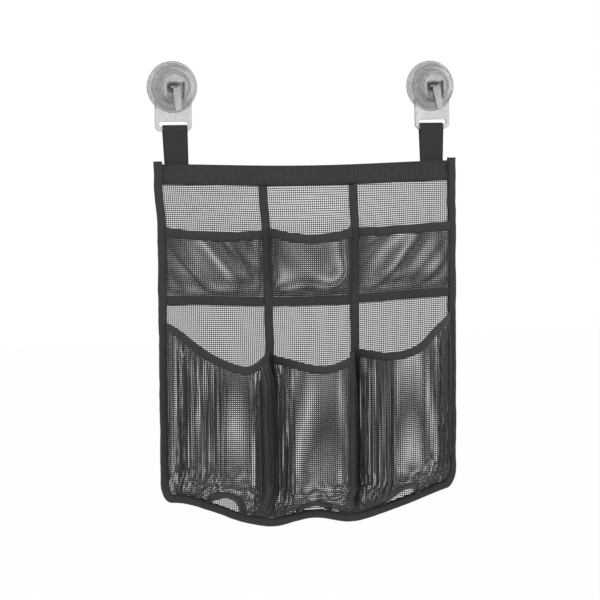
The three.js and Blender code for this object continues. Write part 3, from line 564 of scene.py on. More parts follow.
# The net's upright threads stand at even steps across it, and level ones run between its low and high edges.
def knitNet(node, place, low, high, warps, fine, top, bottom, step=net["step"]):
    uprights, routes = [], []
    for t in warps:
        start, end = low(t), high(t)
        if end - start > net["pitch"]:
            uprights.append([place(t, z) for z in spread(start, end, max(2, round((end - start) / step)))])
    for k in range(int((top - bottom) / net["pitch"])):
        z = bottom + net["pitch"] * (k + 0.5)
        runs = [[]]
        for t in fine:
            if low(t) <= z <= high(t):
                runs[-1].append(place(t, z))
            else:
                runs.append([])
        routes += [run for run in runs if len(run) > 1]
    threads = [(net["warpRadius"], uprights), (net["weftRadius"], routes)]
    return ride(runThreads(pieceName(node), threads, finish["net"]), "bag", "black_net", node)


# How far up or down the cloth, and how far to each side as a share, a frame looks to find its directions
probe = {"mouth": -0.004, "arch": 0.003, "side": 0.012}


# Frames for a tape along an edge of the cloth: a points inward over it, and b stands off it.
def framesOnCloth(place, ts, edge, inward, upright=0):
    frames = []
    for t in ts:
        origin, inner = place(t, edge(t)), place(t, edge(t) + inward)
        before, after = (place(t + way, edge(clamp(t + way))) for way in (-probe["side"], probe["side"]))
        along = (after - before).normalized()
        a = (inner - origin).normalized() + Vector((0, 0, upright))
        a = (a - along * a.dot(along)).normalized()
        b = along.cross(a)
        frames.append((origin, a, b if inward > 0 else -b))
    return frames


# A sewn tape never runs dead straight: each frame moves a little along its own a.
sway = {"pocket": 0.0008, "outline": 0.0009, "divider": 0.001, "length": 0.035}


def wander(frames, amount, seed):
    moved = []
    for (origin, a, b), walked in zip(frames, walk([frame[0] for frame in frames], apart)):
        along = walked / sway["length"]
        shift = noise.noise(Vector((along, seed, 0))) + 0.5 * noise.noise(Vector((along * 3, seed, 5)))
        moved.append((origin + a * amount * shift, a, b))
    return moved


# Round fold over a cloth's edge: down one side, round the edge, down the other
def foldProfile(width, offset=bag["foldOffset"], steps=6):
    side = [(width * share, offset) for share in (1, 0.55, 0.12)]
    angles = spread(0, math.pi, steps)[1:-1]
    turn = [(-offset * math.sin(angle), -offset * math.cos(angle)) for angle in angles]
    return [(a, -b) for a, b in side] + turn + side[::-1]


def flatProfile(low, high, count):
    return [(a, 0) for a in spread(low, high, count)]


stitch = {"pitch": 0.0032, "length": 0.0022, "radius": 0.00024, "inset": 0.0016, "proud": 0.0001}
tapeProud = bag["tapeThickness"] / 2 + stitch["proud"]


# Dashes along a line of points: each is a stitch, and the space between two is where the thread dips under.
def dashes(points):
    found, walked, start = [], 0, 0
    for before, after in zip(points, points[1:]):
        step = (after - before).length
        while step > 0 and start + stitch["length"] <= walked + step:
            if start >= walked:
                ends = (start, start + stitch["length"])
                found.append([before.lerp(after, (end - walked) / step) for end in ends])
            start += stitch["pitch"]
        walked += step
    return found


def stitchLine(frames, a, b):
    return dashes([origin + x * a + y * b for origin, x, y in frames])


def sewStitches(name, rows):
    return ride(runThreads(name, [(stitch["radius"], rows)], finish["thread"]), "bag", "black_tape")


def makeTallPocket(index):
    name = columns[index]["name"]
    place, low, high, overNeck = tallPocket(index)
    top, bottom = bandTop - min(tall["mouthDrops"][index]), bandTop - bag["bottomDividerDrop"]
    middle = (top + bottom) / 2 - tall["measuredBelowMiddle"]
    warps, clothWidth = evenSteps(place, middle, net["pitch"])
    fine = evenSteps(place, middle, net["step"] / 2)[0]
    mesh = knitNet(f"{name}_tall_pocket_net", place, low, high, warps, fine, top, bottom)

    across = spread(0, 1, 160)
    mouth = wander(framesOnCloth(place, across, high, probe["mouth"]), sway["pocket"], index)
    tape = sewTape(f"{name}_tall_pocket_binding", mouth, foldProfile(tall["tape"]))
    overArch = spread(overNeck[0], overNeck[-1], 60)
    arch = framesOnCloth(place, overArch, low, probe["arch"], tall["archUpright"])
    hem = sewTape(f"{name}_neck_hole_binding", arch, foldProfile(tall["tape"]))
    rows = []
    for frames in (mouth, arch):
        rows += stitchLine(frames, tall["tape"] - stitch["inset"], bag["foldOffset"] + tapeProud)
    seams = sewStitches(f"{name}TallPocketStitches", rows)

    heights = [high(t) - low(t) for t in across]
    print(name, "tall pocket, cloth", round(clothWidth, 4), "wide")


for index in range(3):
    makeTallPocket(index)

upper = {
    "mouthDrops": [0.0784, 0.0764, 0.0786], "mouthSags": [0.004, 0.007, 0],
    "seamDrop": 0.1608, "seamCover": 0.0055, "taper": 0.034,
    "depths": [0.014, 0.030, 0.012], "plump": 2.05, "foldDepth": 0.0045,
    "folds": (40, 34, 6), "slantReach": 0.05, "calm": (0.6, 0.03), "stray": 0.003,
    "tape": 0.0102, "seamTape": 0.012,
}


# The shallow pockets are one strip of net, sewn down along the dividers.
def makeUpperPockets():
    stations = []
    for index, column in enumerate(columns):
        depth, sag, drop = (upper[key][index] for key in ("depths", "mouthSags", "mouthDrops"))
        middle, half = (column["left"] + column["right"]) / 2, (column["right"] - column["left"]) / 2
        plan = pocketPlan(column, depth, 0, [upper["plump"]] * 2)[0]
        stations += [
            (x, share, depth, bandTop - drop - sag * (1 - ((x - middle) / half) ** 2))
            for x, share in plan
        ]
    stations = [(-outerSeam, *stations[0][1:]), *stations, (outerSeam, *stations[-1][1:])]
    walked = walk([(x, depth * share) for x, share, depth, _ in stations])
    girth = walked[-1]
    foot = bandTop - upper["seamDrop"] + bag["gap"]
    (across, aslant, along), (calmShare, calmRun) = upper["folds"], upper["calm"]
    mouth = max(top for _, _, _, top in stations)

    def station(t):
        goal = clamp(t) * girth
        k = min(bisect_right(walked, goal), len(walked) - 1) - 1
        return between(stations[k], stations[k + 1], (goal - walked[k]) / ((walked[k + 1] - walked[k]) or 1))

    def place(t, z):
        x, share, depth, _ = station(t)
        up = rise(z - foot, upper["taper"])
        lean = clamp(x / upper["slantReach"], -1, 1)
        slant = Vector((x * across - (z - foot) * aslant * lean, 3.1, z * along))
        loose = up * share * (1 - calmShare * smoothStep(z, mouth - calmRun, mouth))
        ripple = upper["foldDepth"] * noise.noise(slant) * loose
        # The rows of the loose cloth stray, so they don't all fall between those of the net behind.
        stray = upper["stray"] * loose
        aside, lower = (stray * noise.noise(slant + Vector((0, seed, 0))) for seed in (5.3, 9.1))
        return hung(x + aside, plane["pocket"] + depth * share * up + ripple, z + lower)

    def low(t):
        return foot - upper["seamCover"]

    def high(t):
        return station(t)[3]

    warps, fine = (spread(0, 1, round(girth / step)) for step in (net["pitch"], net["step"] * 0.7))
    mesh = knitNet("upper_pocket_net", place, low, high, warps, fine, mouth, foot - upper["seamCover"])
    frames = wander(framesOnCloth(place, spread(0, 1, 200), high, probe["mouth"]), sway["pocket"], 11)
    tape = sewTape("upper_pocket_binding", frames, foldProfile(upper["tape"]))

    levels = [(hung(x, plane["seamTape"], bandTop - upper["seamDrop"]), down, outward)
              for x in spread(-outerSeam, outerSeam, 160)]
    levels = wander(levels, sway["pocket"], 12)
    cover = sewTape("upper_pocket_seam_tape", levels, flatProfile(0, upper["seamTape"], 4))

    rows = stitchLine(frames, upper["tape"] - stitch["inset"], bag["foldOffset"] + tapeProud)
    for a in (stitch["inset"], upper["seamTape"] - stitch["inset"]):
        rows += stitchLine(levels, a, tapeProud)
    seams = sewStitches("upperPocketStitches", rows)
    print("upper pockets, girth", round(girth, 4))


makeUpperPockets()


def makeBackNet():
    width = 2 * outerSeam

    def place(t, z):
        return hung(-outerSeam + width * t, plane["net"], z)

    def low(t):
        return clothFoot(-outerSeam + width * t)

    def high(t):
        return bandTop - bag["edgeInset"] - bandSag(-outerSeam + width * t)

    warps, fine = (spread(0, 1, round(width / step)) for step in (net["pitch"], net["flatFine"]))
    bottom = bandTop - bag["bottomDividerDrop"]
    mesh = knitNet("back_net", place, low, high, warps, fine, bandTop, bottom, net["flatStep"])


makeBackNet()
print("back net knitted")


# The binding runs down one side, round the corners and the scalloped foot, and up the other side.
def makeOutlineBinding():
    side = spread(bandTop + bag["endRise"], bandTop - bag["cornerStartDrop"], 110)
    points = [(-halfWidth, z) for z in side]
    corner = [-(cornerX + bag["cornerReach"] * math.cos(angle)) for angle in spread(0, math.pi / 2, 9)[1:-1]]
    points += [(x, bottomZ(x)) for x in corner + spread(-cornerX, cornerX, 120)]
    points += [(-x, bottomZ(-x)) for x in corner[::-1]] + [(halfWidth, z) for z in side[::-1]]
    places = [hung(x, 0, z) for x, z in points]
    frames = []
    for i, origin in enumerate(places):
        along = places[min(i + 1, len(places) - 1)] - places[max(i - 1, 0)]
        along = Vector((along.x, 0, along.z)).normalized()
        frames.append((origin, Vector((-along.z, 0, along.x)), outward))
    frames = wander(frames, sway["outline"], 13)
    middle, half = plane["binding"], plane["cover"] - plane["binding"]
    width = bag["bindingWidth"]
    side = [(width, half), (width * 0.6, half)]
    turn = [(half * (1 - math.sin(angle)), -half * math.cos(angle)) for angle in spread(0, math.pi, 8)]
    profile = [(a, middle + b) for a, b in [(a, -b) for a, b in side] + turn + side[::-1]]
    sewTape("outline_binding", frames, profile, "left_side_binding", "right_side_binding", "bottom_binding")
    rows = []
    for face in (1, -1):
        rows += stitchLine(frames, width - stitch["inset"], middle + face * (half + tapeProud))
    sewStitches("outlineStitches", rows)


makeOutlineBinding()


def makeDividers():
    rows = []
    for name, x in divider.items():
        top = bandTop - band["height"] - bandSag(x) - bag["gap"]
        bottom = bottomZ(x) + bag["bindingWidth"] + 5 * bag["gap"]
        frames = [(hung(x, plane["cover"], z), rightward, outward) for z in spread(top, bottom, 120)]
        frames = wander(frames, sway["divider"], 14 + x * 100)
        sewTape(f"{name}_divider_tape", frames, flatProfile(-halfTape, halfTape, 4))
        for side in (-1, 1):
            rows += stitchLine(frames, side * (halfTape - stitch["inset"]), tapeProud)
    sewStitches("dividerStitches", rows)


makeDividers()

webbing = {"ribPitch": 0.0025, "ribHeight": 0.00012, "samples": 6, "seamInset": 0.002}


def ribAt(i):
    return webbing["ribHeight"] * math.cos(math.tau * i / webbing["samples"])


def ribSteps(length):
    return round(length / webbing["ribPitch"]) * webbing["samples"]


def makeBands():
    rows = []
    for side, face in (("front", 1), ("rear", -1)):
        node, depth = f"top_band_{side}", plane[f"{side}Band"]
        frames = []
        for i, x in enumerate(spread(-outerSeam, outerSeam, ribSteps(2 * outerSeam))):
            origin = Vector((x + bag["shift"], -depth - face * ribAt(i), bandTop - bandSag(x)))
            frames.append((origin, down, outward))
        flat = flatProfile(0, band["height"], 6)
        sewTape(node, frames, flat, thickness=band["thickness"], material=finish["webbing"])
        proud = face * (band["thickness"] / 2 + webbing["ribHeight"] + stitch["proud"])
        for a in (webbing["seamInset"], band["height"] - webbing["seamInset"]):
            rows += stitchLine(frames[:: webbing["samples"]], a, proud)
    sewStitches("bandStitches", rows)


makeBands()
print("bindings, dividers and band sewn")

cups = {
    "left": {"x": -0.1667, "turn": 0, "plateTurn": 0},
    "right": {"x": 0.1667, "turn": 4, "plateTurn": 1.2},
}
strap = {
    "width": 0.030,
    "thickness": 0.0013,
    "drop": 0.0427,
    "tail": 0.021,
    "loopRadius": 0.00375,
    "lean": {"left": 0.0024, "right": 0.0018},
    "barDrop": 0.0513,
    "bend": 12,
    "seamInset": 0.003,
}


# A webbing loop: up behind the bar, over it, down in front, and both tails behind the band.
def makeStrap(name):
    barDepth, barZ = planeOf(f"{name}_strap_plate"), -strap["barDrop"]
    thick = strap["thickness"]
    radius = strap["loopRadius"] + thick / 2
    rear = barDepth - radius
    front = rear + thick + bag["gap"]
    middleX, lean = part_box(f"{name}_strap")[0].x + strap["width"] / 2, strap["lean"][name]
    tailEnd, frontTop = bandTop - strap["tail"], bandTop + 2 * thick
    path = [(rear, z) for z in spread(tailEnd, bandTop, 4) + spread(bandTop, barZ, 10)[1:]]
    for angle in spread(0, math.pi, strap["bend"])[1:]:
        path.append((barDepth - radius * math.cos(angle), barZ + radius * math.sin(angle)))
    last = path[-1]
    path += [between(last, (front, frontTop), share) for share in spread(0, 1, 10)[1:]]
    path += [(front, z) for z in spread(frontTop, tailEnd, 5)[1:]]
    walked = walk(path)
    spots = [between(path[k], path[k + 1], t) for k, t in evenly(walked, ribSteps(walked[-1]))]
    frames = []
    for i, (depth, z) in enumerate(spots):
        before, after = spots[max(i - 3, 0)], spots[min(i + 3, len(spots) - 1)]
        b = rightward.cross(Vector((0, before[0] - after[0], after[1] - before[1])).normalized())
        x = middleX + lean * clamp((barZ - z) / strap["drop"])
        frames.append((Vector((x, -depth, z)) + b * ribAt(i), rightward, b))
    half = strap["width"] / 2
    sewTape(
        f"{name}_strap", frames, flatProfile(-half, half, 8),
        thickness=thick - 2 * webbing["ribHeight"], material=finish["strap"],
    )
    # a box with a cross, sewn through both tails at the back
    left, right = strap["seamInset"] - half, half - strap["seamInset"]
    bottom, top = tailEnd + strap["seamInset"], bandTop - strap["seamInset"]
    corners = [
        Vector((middleX + lean + x, -(rear - thick / 2 - stitch["proud"]), z))
        for x, z in ((left, top), (right, top), (right, bottom), (left, bottom))
    ]
    rows = []
    for start, end in ((0, 1), (1, 2), (2, 3), (3, 0), (0, 2), (1, 3)):
        rows += dashes([corners[start], corners[end]])
    sewStitches(f"{name}StrapStitches", rows)


for name in cups:
    makeStrap(name)
print("straps looped")


# Cup pieces. Each is made about its own axis with the wall at depth 0, and then put in its place.
def turnedMesh(profile, closed=False, steps=96):
    bm = bmesh.new()
    ring = [bm.verts.new((radius, -depth, 0)) for radius, depth in profile]
    edges = [bm.edges.new(pair) for pair in zip(ring, ring[1:])]
    if closed:
        edges.append(bm.edges.new((ring[-1], ring[0])))
    bmesh.ops.spin(
        bm, geom=ring + edges, cent=(0, 0, 0), axis=(0, 1, 0), angle=math.tau, steps=steps, use_merge=True,
    )
    bmesh.ops.remove_doubles(bm, verts=bm.verts, dist=1e-6)
    bmesh.ops.recalc_face_normals(bm, faces=bm.faces)
    return meshFrom(bm)


def drumMesh(radius, depth0, depth1, steps=96):
    return turnedMesh([(0, depth0), (radius, depth0), (radius, depth1), (0, depth1)], steps=steps)


# A box between two x, two depths and two z, its edges rounded.
def boxMesh(x0, x1, depth0, depth1, z0, z1, rounding=0):
    bm = bmesh.new()
    bmesh.ops.create_cube(bm, size=1)
    bmesh.ops.scale(bm, vec=(x1 - x0, depth1 - depth0, z1 - z0), verts=bm.verts)
    bmesh.ops.translate(bm, vec=((x0 + x1) / 2, -(depth0 + depth1) / 2, (z0 + z1) / 2), verts=bm.verts)
    if rounding:
        bmesh.ops.bevel(
            bm, geom=bm.edges[:], offset=rounding, offset_type="OFFSET", segments=3, profile=0.5,
            affect="EDGES", material=-1,
        )
    return meshFrom(bm)


def rodMesh(radius, x0, x1, depth, z, segments=32):
    bm = bmesh.new()
    bmesh.ops.create_cone(
        bm, cap_ends=True, segments=segments, radius1=radius, radius2=radius, depth=x1 - x0,
        matrix=Matrix.Translation(((x0 + x1) / 2, -depth, z)) @ Matrix.Rotation(math.pi / 2, 4, "Y"),
    )
    return meshFrom(bm)


# A flat outline, pushed out into a solid
def pushedMesh(points, push):
    bm = bmesh.new()
    face = bm.faces.new([bm.verts.new(point) for point in points])
    moved = bmesh.ops.extrude_face_region(bm, geom=[face])["geom"]
    bmesh.ops.translate(bm, vec=push, verts=[v for v in moved if isinstance(v, bmesh.types.BMVert)])
    bmesh.ops.recalc_face_normals(bm, faces=bm.faces)
    return meshFrom(bm)


def plateMesh(outline, depth0, depth1):
    return pushedMesh([(x, -depth0, z) for x, z in outline], (0, depth0 - depth1, 0))


def arcPoints(x, z, radius, start, end, steps):
    return [
        (x + radius * math.cos(math.radians(angle)), z + radius * math.sin(math.radians(angle)))
        for angle in spread(start, end, steps)
    ]


def bake(obj):
    mesh = bpy.data.meshes.new_from_object(obj.evaluated_get(bpy.context.evaluated_depsgraph_get()))
    obj.modifiers.clear()
    obj.data = mesh


def combine(target, tool, operation="DIFFERENCE"):
    other = link("tool", tool, target.data.materials[0])
    cut = target.modifiers.new("cut", "BOOLEAN")
    cut.object = other
    cut.operation = operation
    cut.solver = "EXACT"
    bake(target)
    bpy.data.objects.remove(other)


# Painted shade for clear plastic, as each face's share of upright wall: 0 on a face that looks straight out
# from the wall of the room, and 1 on one that stands edge on. The function given, called with (radius, depth,
# x, z), gives a share of it, and what painted shade is added.
def paintWallShade(mesh, shadeOf):
    values = []
    for face in mesh.polygons:
        x, y, z = face.center
        share, more = shadeOf(math.hypot(x, z), -y, x, z)
        values.append((1 - abs(face.normal.y)) * share + more)
    mesh.attributes.new("wall", "FLOAT", "FACE").data.foreach_set("value", values)


# Painted shade for each kind of clear plastic face: a share of its upright wall, and shade added on top.
walls = {
    "edge": (1.7, 0),
    "weakShadeRing": (1, 0), "darkShadeRing": (1, 0.8), "padMiddle": (0.4, 0.1),
    "weakShadeRidge": (0.18, 0.1), "darkShadeRidge": (0.18, 0.34), "inside": (0.08, 0),
    "well": (0.1, 0.46), "wellRight": (0.1, 0.05),
}


# Plates and levers show as outlines of painted shade on their upright faces.
def edgeShade(*place):
    return walls["edge"]


# The lip of the pad is painted in rings, weak and dark painted shade by turns, for the light arcs and dark
# lines on it.
def padShade(radius, *place):
    ring = int((pad["radius"] - radius) / (pad["radius"] - pad["lipInner"]) * pad["lipRings"])
    return walls["padMiddle" if radius <= pad["lipInner"] else "weakShadeRing" if ring % 2 else "darkShadeRing"]


# The ridges of the cap get dark and weak painted shade by turns, the collar inside gets hardly any, and the
# well gets painted shade that dims it, its right wall less.
def capShade(radius, depth, x, z):
    if radius > cap["faceRadius"] - cap["wall"] / 2:
        ridge = int((cap["rimRadius"] - radius) / cap["ridgeRun"])
        return walls["weakShadeRidge" if ridge % 2 else "darkShadeRidge"]
    half = cap["wellWidth"] / 2
    inWell = abs(x) < half + gap and cap["wellBottom"] - gap < z < cap["wellTop"] + gap
    if inWell and depth > wellFloor - gap:
        return walls["wellRight" if x > half - gap else "well"]
    return walls["inside"]


def roundEdges(obj, width, segments=2, degrees=32):
    soft = obj.modifiers.new("rounding", "BEVEL")
    soft.width = width
    soft.segments = segments
    soft.limit_method = "ANGLE"
    soft.angle_limit = math.radians(degrees)
    bake(obj)
    obj.data.shade_smooth()
    obj.data.set_sharp_from_angle(angle=math.radians(50))
    return obj


pad = {
    "radius": 0.0315, "edge": 0.0008, "thickness": 0.0036,
    "lipInner": 0.0274, "lipThickness": 0.0017, "lipRings": 4, "sealInner": 0.023,
    "vacuumDepth": 0.0018, "vacuumFlat": 0.009, "bossRadius": 0.0115, "bossHeight": 0.0074,
    "cavityUnder": 0.0009, "cavityOver": 0.0013, "released": 0.455, "rounding": 0.0003,
}
stud = {
    "discRadius": 0.008, "discThickness": 0.0016, "discDepth": 0.0039, "neckRadius": 0.0036,
    "tongueWidth": 0.003, "tongueHeight": 0.007, "tongueRoot": 0.002, "rounding": 0.0002,
    "pinRadius": 0.0015, "pinLeft": -0.0052, "pinRounding": 0.0004,
}
plate = {
    "width": 0.046, "thickness": 0.003, "headSwell": 0.004, "holeRadius": 0.016,
    "cornerRadius": 0.007, "barHeight": 0.0062, "rounding": 0.0009,
    "slotWidth": 0.036, "slotHeight": 0.0058, "slotCorner": 0.0026,
}
cap = {
    "height": 0.0156, "wall": 0.002, "rimRadius": 0.0282, "rimHeight": 0.0016,
    "ridgeCount": 3, "ridgeRise": 0.0017, "ridgeRun": 0.0019, "ridgeInnerRadius": 0.0212,
    "faceRadius": 0.0174, "faceLip": 0.0008, "faceLipWidth": 0.0015, "rounding": 0.00025,
    "collarRadius": 0.0154, "collarWall": 0.0018, "collarReach": 0.0026, "floorThickness": 0.002,
    "wellWidth": 0.0226, "wellTop": 0.0056, "wellBottom": -0.015, "wellWall": 0.0016,
    "wellRounding": 0.0008, "leverNotchClear": 0.0006,
}
lever = {
    "width": 0.0094, "offset": 0.0015, "rounding": 0.0006, "above": 0.01,
    "camRadius": 0.0046, "camFlankDegrees": 45, "camShiftDepth": 0.0011, "camShiftDown": 0.0014,
    "kneeDrop": 0.008, "bellyDrop": 0.018, "tipDrop": 0.0276,
    "armFront": 0.005, "bellyFront": 0.009, "tipFront": 0.0126,
    "armThickness": 0.0044, "tipRadius": 0.0022, "tipHalfWidth": 0.0039,
}
# how far a cutting shape runs past what it cuts
overrun = {"stud": 0.0045, "plate": 0.002, "cap": 0.004, "lever": 0.02}
gap = bag["gap"]
plateBack = pad["thickness"] + gap
plateFront = plateBack + plate["thickness"]
capFoot = plateFront + gap
capFace = capFoot + cap["height"]
wellFloor = capFoot + cap["wall"] + cap["floorThickness"]
pinDepth = wellFloor + gap + lever["camRadius"] + lever["camShiftDepth"]
leverLeft = lever["offset"] - lever["width"] / 2
leverRight = lever["offset"] + lever["width"] / 2


def makePad():
    under = stud["discDepth"] - pad["cavityUnder"]
    over = stud["discDepth"] + stud["discThickness"] + pad["cavityOver"]
    hollow, flat, lip = pad["vacuumDepth"], pad["vacuumFlat"], pad["lipInner"]
    outline = [(0, hollow)]
    for share in spread(0, 1, 12)[:-1]:
        outline.append((flat + (pad["sealInner"] - flat) * share, hollow * (1 - smoothStep(share, 0, 1))))
    outline += [(pad["sealInner"], 0), (pad["radius"], 0)]
    for share in spread(0, 1, pad["lipRings"]):
        outline.append(between((pad["radius"], pad["edge"]), (lip, pad["lipThickness"]), share))
    boss, neck, disc = pad["bossRadius"], stud["neckRadius"] + gap, stud["discRadius"] + gap
    outline += [(lip, pad["thickness"]), (boss, pad["thickness"]), (boss, pad["bossHeight"])]
    outline += [(neck, pad["bossHeight"]), (neck, over), (disc, over), (disc, under), (0, under)]
    return roundEdges(link("pad", turnedMesh(outline), finish["pad"]), pad["rounding"])


def makeStud():
    disc, neck, discTop = stud["discRadius"], stud["neckRadius"], stud["discDepth"] + stud["discThickness"]
    outline = [(0, stud["discDepth"]), (disc, stud["discDepth"]), (disc, discTop), (neck, discTop)]
    outline += [(neck, wellFloor), (0, wellFloor)]
    obj = link("stud", turnedMesh(outline, steps=48), finish["plate"])
    half, wide = stud["tongueHeight"] / 2, stud["tongueWidth"] / 2
    combine(obj, boxMesh(-wide, wide, wellFloor - stud["tongueRoot"], pinDepth, -half, half), "UNION")
    combine(obj, rodMesh(half, -wide, wide, pinDepth, 0), "UNION")
    reach = wide + overrun["stud"]
    combine(obj, rodMesh(stud["pinRadius"] + gap / 2, -reach, reach, pinDepth, 0))
    return roundEdges(obj, stud["rounding"])


def makePin():
    rod = rodMesh(stud["pinRadius"], stud["pinLeft"], leverRight, pinDepth, 0, 40)
    return roundEdges(link("pin", rod, finish["steel"]), stud["pinRounding"], 3)


def makePlate():
    half, r = plate["width"] / 2, plate["cornerRadius"]
    headRadius = half + plate["headSwell"]
    barZ = -strap["barDrop"]
    bottom = barZ - plate["barHeight"] / 2
    meet = math.degrees(math.acos(half / headRadius))
    outline = arcPoints(0, 0, headRadius, -meet, 180 + meet, 72)
    outline += arcPoints(-half + r, bottom + r, r, 180, 270, 10)
    outline += arcPoints(half - r, bottom + r, r, 270, 360, 10)
    obj = link("plate", plateMesh(outline, plateBack, plateFront), finish["plate"])
    back, front = plateBack - overrun["plate"], plateFront + overrun["plate"]
    combine(obj, drumMesh(plate["holeRadius"], back, front))
    low = barZ + plate["barHeight"] / 2
    high, reach, c = low + plate["slotHeight"], plate["slotWidth"] / 2, plate["slotCorner"]
    slot = []
    for k, (x, z) in enumerate(((reach, high), (-reach, high), (-reach, low), (reach, low))):
        slot += arcPoints(x - math.copysign(c, x), z + (c if z == low else -c), c, 90 * k, 90 * k + 90, 6)
    combine(obj, plateMesh(slot, back, front))
    return roundEdges(obj, plate["rounding"], 3, 50)


def capOutline():
    points = [(cap["rimRadius"], capFoot), (cap["rimRadius"], capFoot + cap["rimHeight"])]
    for k in range(1, cap["ridgeCount"] + 1):
        share = k / cap["ridgeCount"]
        radius = cap["rimRadius"] + (cap["ridgeInnerRadius"] - cap["rimRadius"]) * share
        depth = capFoot + cap["rimHeight"] + cap["ridgeRise"] * k
        points += [(radius + cap["ridgeRun"], depth - cap["ridgeRise"] / 3), (radius, depth)]
    return points + [
        (cap["faceRadius"] + cap["faceLip"], capFace - cap["faceLip"]),
        (cap["faceRadius"], capFace),
        (cap["faceRadius"] - cap["faceLipWidth"], capFace),
        (cap["faceRadius"] - cap["faceLipWidth"], capFace - cap["faceLip"]),
        (0, capFace - cap["faceLip"]),
    ]


def makeCap():
    wall = cap["wall"]
    crown, ridgeFoot = capFace - cap["faceLip"] - wall, capFoot + cap["rimHeight"] / 2
    inside = [
        (0, crown),
        (cap["faceRadius"] - wall, crown),
        (cap["ridgeInnerRadius"] - wall, ridgeFoot + cap["ridgeRise"] * cap["ridgeCount"]),
        (cap["rimRadius"] - wall, ridgeFoot),
        (cap["rimRadius"] - wall, capFoot),
    ]
    obj = link("cap", turnedMesh(inside + capOutline()), finish["cap"])
    half, wellFoot, top = cap["wellWidth"] / 2, wellFloor - cap["floorThickness"], capFace + overrun["cap"]
    outerHalf = half + cap["wellWall"]
    outer = turnedMesh([(0, capFoot)] + capOutline())
    well = boxMesh(
        -outerHalf, outerHalf, wellFoot, capFace,
        cap["wellBottom"] - cap["wellWall"], cap["wellTop"] + cap["wellWall"],
    )
    # the well's walls and its floor, kept inside the cap's own outline
    for inner in (well, drumMesh(cap["ridgeInnerRadius"], wellFoot, wellFloor)):
        filled = link("filled", inner, finish["cap"])
        combine(filled, outer.copy(), "INTERSECT")
        combine(obj, filled.data, "UNION")
        bpy.data.objects.remove(filled)
    far, foot, root = cap["collarRadius"], capFoot - cap["collarReach"], wellFoot + wall / 2
    near = far - cap["collarWall"]
    collar = [(near, foot), (far, foot), (far, root), (near, root)]
    combine(obj, turnedMesh(collar, closed=True), "UNION")
    combine(obj, boxMesh(-half, half, wellFloor, top, cap["wellBottom"], cap["wellTop"], cap["wellRounding"]))
    boreRadius = stud["neckRadius"] + gap
    combine(obj, drumMesh(boreRadius, wellFoot - overrun["cap"], wellFloor + overrun["cap"], 48))
    clear = cap["leverNotchClear"]
    combine(obj, boxMesh(
        leverLeft - clear, leverRight + clear, pinDepth - gap, top,
        -cap["rimRadius"], cap["wellBottom"] + overrun["cap"],
    ))
    return roundEdges(obj, cap["rounding"])


def bezier(start, pull, end, steps):
    return [
        tuple((1 - t) ** 2 * p + 2 * t * (1 - t) * q + t * t * r for p, q, r in zip(start, pull, end))
        for t in spread(0, 1, steps)[1:]
    ]


# The lever's side outline, in depth and z: a cam round the pin, then an arm that bows out to its tip.
def makeLever():
    camDepth, camZ = pinDepth - lever["camShiftDepth"], -lever["camShiftDown"]
    front, belly, tip = (pinDepth + lever[key] for key in ("armFront", "bellyFront", "tipFront"))
    thick, r = lever["armThickness"], lever["tipRadius"]
    outline = arcPoints(camDepth, camZ, lever["camRadius"], 270, lever["camFlankDegrees"], 24)
    outline += bezier(outline[-1], (front, camZ), (front, -lever["kneeDrop"]), 6)
    outline += bezier(outline[-1], (belly, -lever["bellyDrop"]), (tip, -lever["tipDrop"]), 8)
    outline += arcPoints(tip - r, -lever["tipDrop"], r, 0, -180, 12)[1:]
    outline += bezier(
        outline[-1], (belly - thick, -lever["bellyDrop"]), (front - thick, -lever["kneeDrop"]), 8,
    )
    solid = pushedMesh([(leverLeft, -depth, z) for depth, z in outline], (lever["width"], 0, 0))
    obj = link("lever", solid, finish["lever"])
    half, end, middle = lever["width"] / 2, lever["tipHalfWidth"], lever["offset"]
    endZ = end - lever["tipDrop"] - lever["tipRadius"]
    above, knee = lever["above"], -lever["kneeDrop"]
    face = [(middle + half, above), (middle - half, above), (middle - half, knee)]
    face += arcPoints(middle, endZ, end, 180, 360, 20) + [(middle + half, -lever["kneeDrop"])]
    combine(obj, plateMesh(face, wellFloor, pinDepth + overrun["lever"]), "INTERSECT")
    # the slot for the stud's tongue
    slot, reach = stud["tongueWidth"] / 2 + gap, stud["tongueHeight"] / 2 + 2 * gap
    back, top = wellFloor - overrun["cap"], lever["camRadius"] + lever["camShiftDepth"] + overrun["cap"]
    combine(obj, rodMesh(reach, -slot, slot, pinDepth, 0))
    combine(obj, boxMesh(-slot, slot, back, pinDepth, -reach, top))
    combine(obj, boxMesh(-slot, slot, back, pinDepth + reach, 0, top))
    combine(obj, rodMesh(stud["pinRadius"] + gap / 2, -overrun["lever"], overrun["lever"], pinDepth, 0))
    return roundEdges(obj, lever["rounding"], 3, 40)


def makeCup(name):
    x, turn = cups[name]["x"], cups[name]["turn"]
    still = Matrix.Translation((x, 0, 0))
    turned = still @ Matrix.Rotation(-math.radians(turn), 4, "Y")
    swivelled = still @ Matrix.Rotation(-math.radians(cups[name]["plateTurn"]), 4, "Y")
    for make, where, body, slotName, node in (
        (makePad, still, "wall_cups", "soft_vinyl", "suction_pad"),
        (makePlate, swivelled, "wall_cups", "clear_plastic", "strap_plate"),
        (makeCap, turned, f"{name}_cap", "clear_plastic", "locking_cap"),
        (makeStud, turned, f"{name}_stud", "clear_plastic", "pull_stud"),
        (makePin, turned, f"{name}_stud", "steel", "lever_pin"),
        (makeLever, turned, f"{name}_lever", "clear_plastic", "lock_lever"),
    ):
        obj = make()
        obj.name = pieceName(f"{name}_{node}")
        paintWallShade(obj.data, {"suction_pad": padShade, "locking_cap": capShade}.get(node, edgeShade))
        obj.data.transform(where)
        ride(obj, body, slotName, f"{name}_{node}")
        if node == "suction_pad":
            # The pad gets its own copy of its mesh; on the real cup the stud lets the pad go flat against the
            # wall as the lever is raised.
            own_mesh(obj)


for name in cups:
    makeCup(name)
    print("cup made:", name)

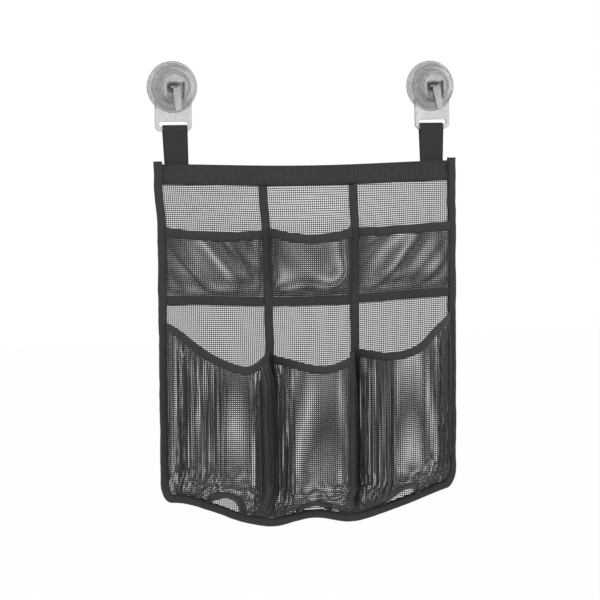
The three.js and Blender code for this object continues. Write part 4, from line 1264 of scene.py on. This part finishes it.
# Stage: a pale floor well below the bag, a white surround for the camera, and soft lamps
stage = {"floorDrop": 0.95, "floorSize": 12, "world": 0.78, "floor": "#f2f2f2", "floorWhite": 0.97}
lamps = {
    "key": {"place": (-1.6, -2.2, 1.2), "size": 1.6, "power": 26},
    "fill": {"place": (1.9, -2.0, 0.3), "size": 1.8, "power": 12},
}


# White to the camera and in gloss and glass, for a share, and lit as it is for all other rays
def seenWhite(tree, shaded, white, share=1):
    path = addNode(tree, "ShaderNodeLightPath")
    seen = path.outputs["Is Camera Ray"]
    for ray in ("Is Glossy Ray", "Is Transmission Ray"):
        either = addNode(tree, "ShaderNodeMath", {0: seen, 1: path.outputs[ray]}, operation="MAXIMUM")
        seen = either.outputs[0]
    part = addNode(tree, "ShaderNodeMath", {0: seen, 1: share}, operation="MULTIPLY")
    return addNode(tree, "ShaderNodeMixShader", {0: part.outputs[0], 1: shaded, 2: white}).outputs[0]


def makeStage():
    world = bpy.data.worlds.new("surround")
    bpy.context.scene.world = world
    world.use_nodes = True
    tree = world.node_tree
    tree.nodes.clear()
    light = addNode(tree, "ShaderNodeBackground", {"Color": (1, 1, 1, 1), "Strength": stage["world"]})
    white = addNode(tree, "ShaderNodeBackground", {"Color": (1, 1, 1, 1), "Strength": 1})
    addNode(tree, "ShaderNodeOutputWorld", {"Surface": seenWhite(tree, light.outputs[0], white.outputs[0])})

    bm = bmesh.new()
    bmesh.ops.create_grid(bm, x_segments=1, y_segments=1, size=stage["floorSize"] / 2)
    bmesh.ops.translate(bm, vec=(0, 0, -stage["floorDrop"]), verts=bm.verts)
    material, tree, shader = newMaterial("pale_floor")
    feed(tree, shader, {"Base Color": hexColour(stage["floor"]), "Roughness": 0.9})
    white = addNode(tree, "ShaderNodeEmission", {"Color": (1, 1, 1, 1), "Strength": 1})
    surface = seenWhite(tree, shader.outputs[0], white.outputs[0], stage["floorWhite"])
    tree.links.new(surface, tree.nodes["Material Output"].inputs["Surface"])
    link("floor", meshFrom(bm), material)

    for name, lamp in lamps.items():
        data = bpy.data.lights.new(name, "AREA")
        data.shape = "DISK"
        data.size = lamp["size"]
        data.energy = lamp["power"]
        obj = newObject(name, data)
        obj.location = lamp["place"]
        toBag = Vector(camera["target"]) - obj.location
        obj.rotation_mode = "QUATERNION"
        obj.rotation_quaternion = toBag.to_track_quat("-Z", "Y")


makeStage()
bpy.context.scene.view_settings.view_transform = "Standard"

print("scene ready")
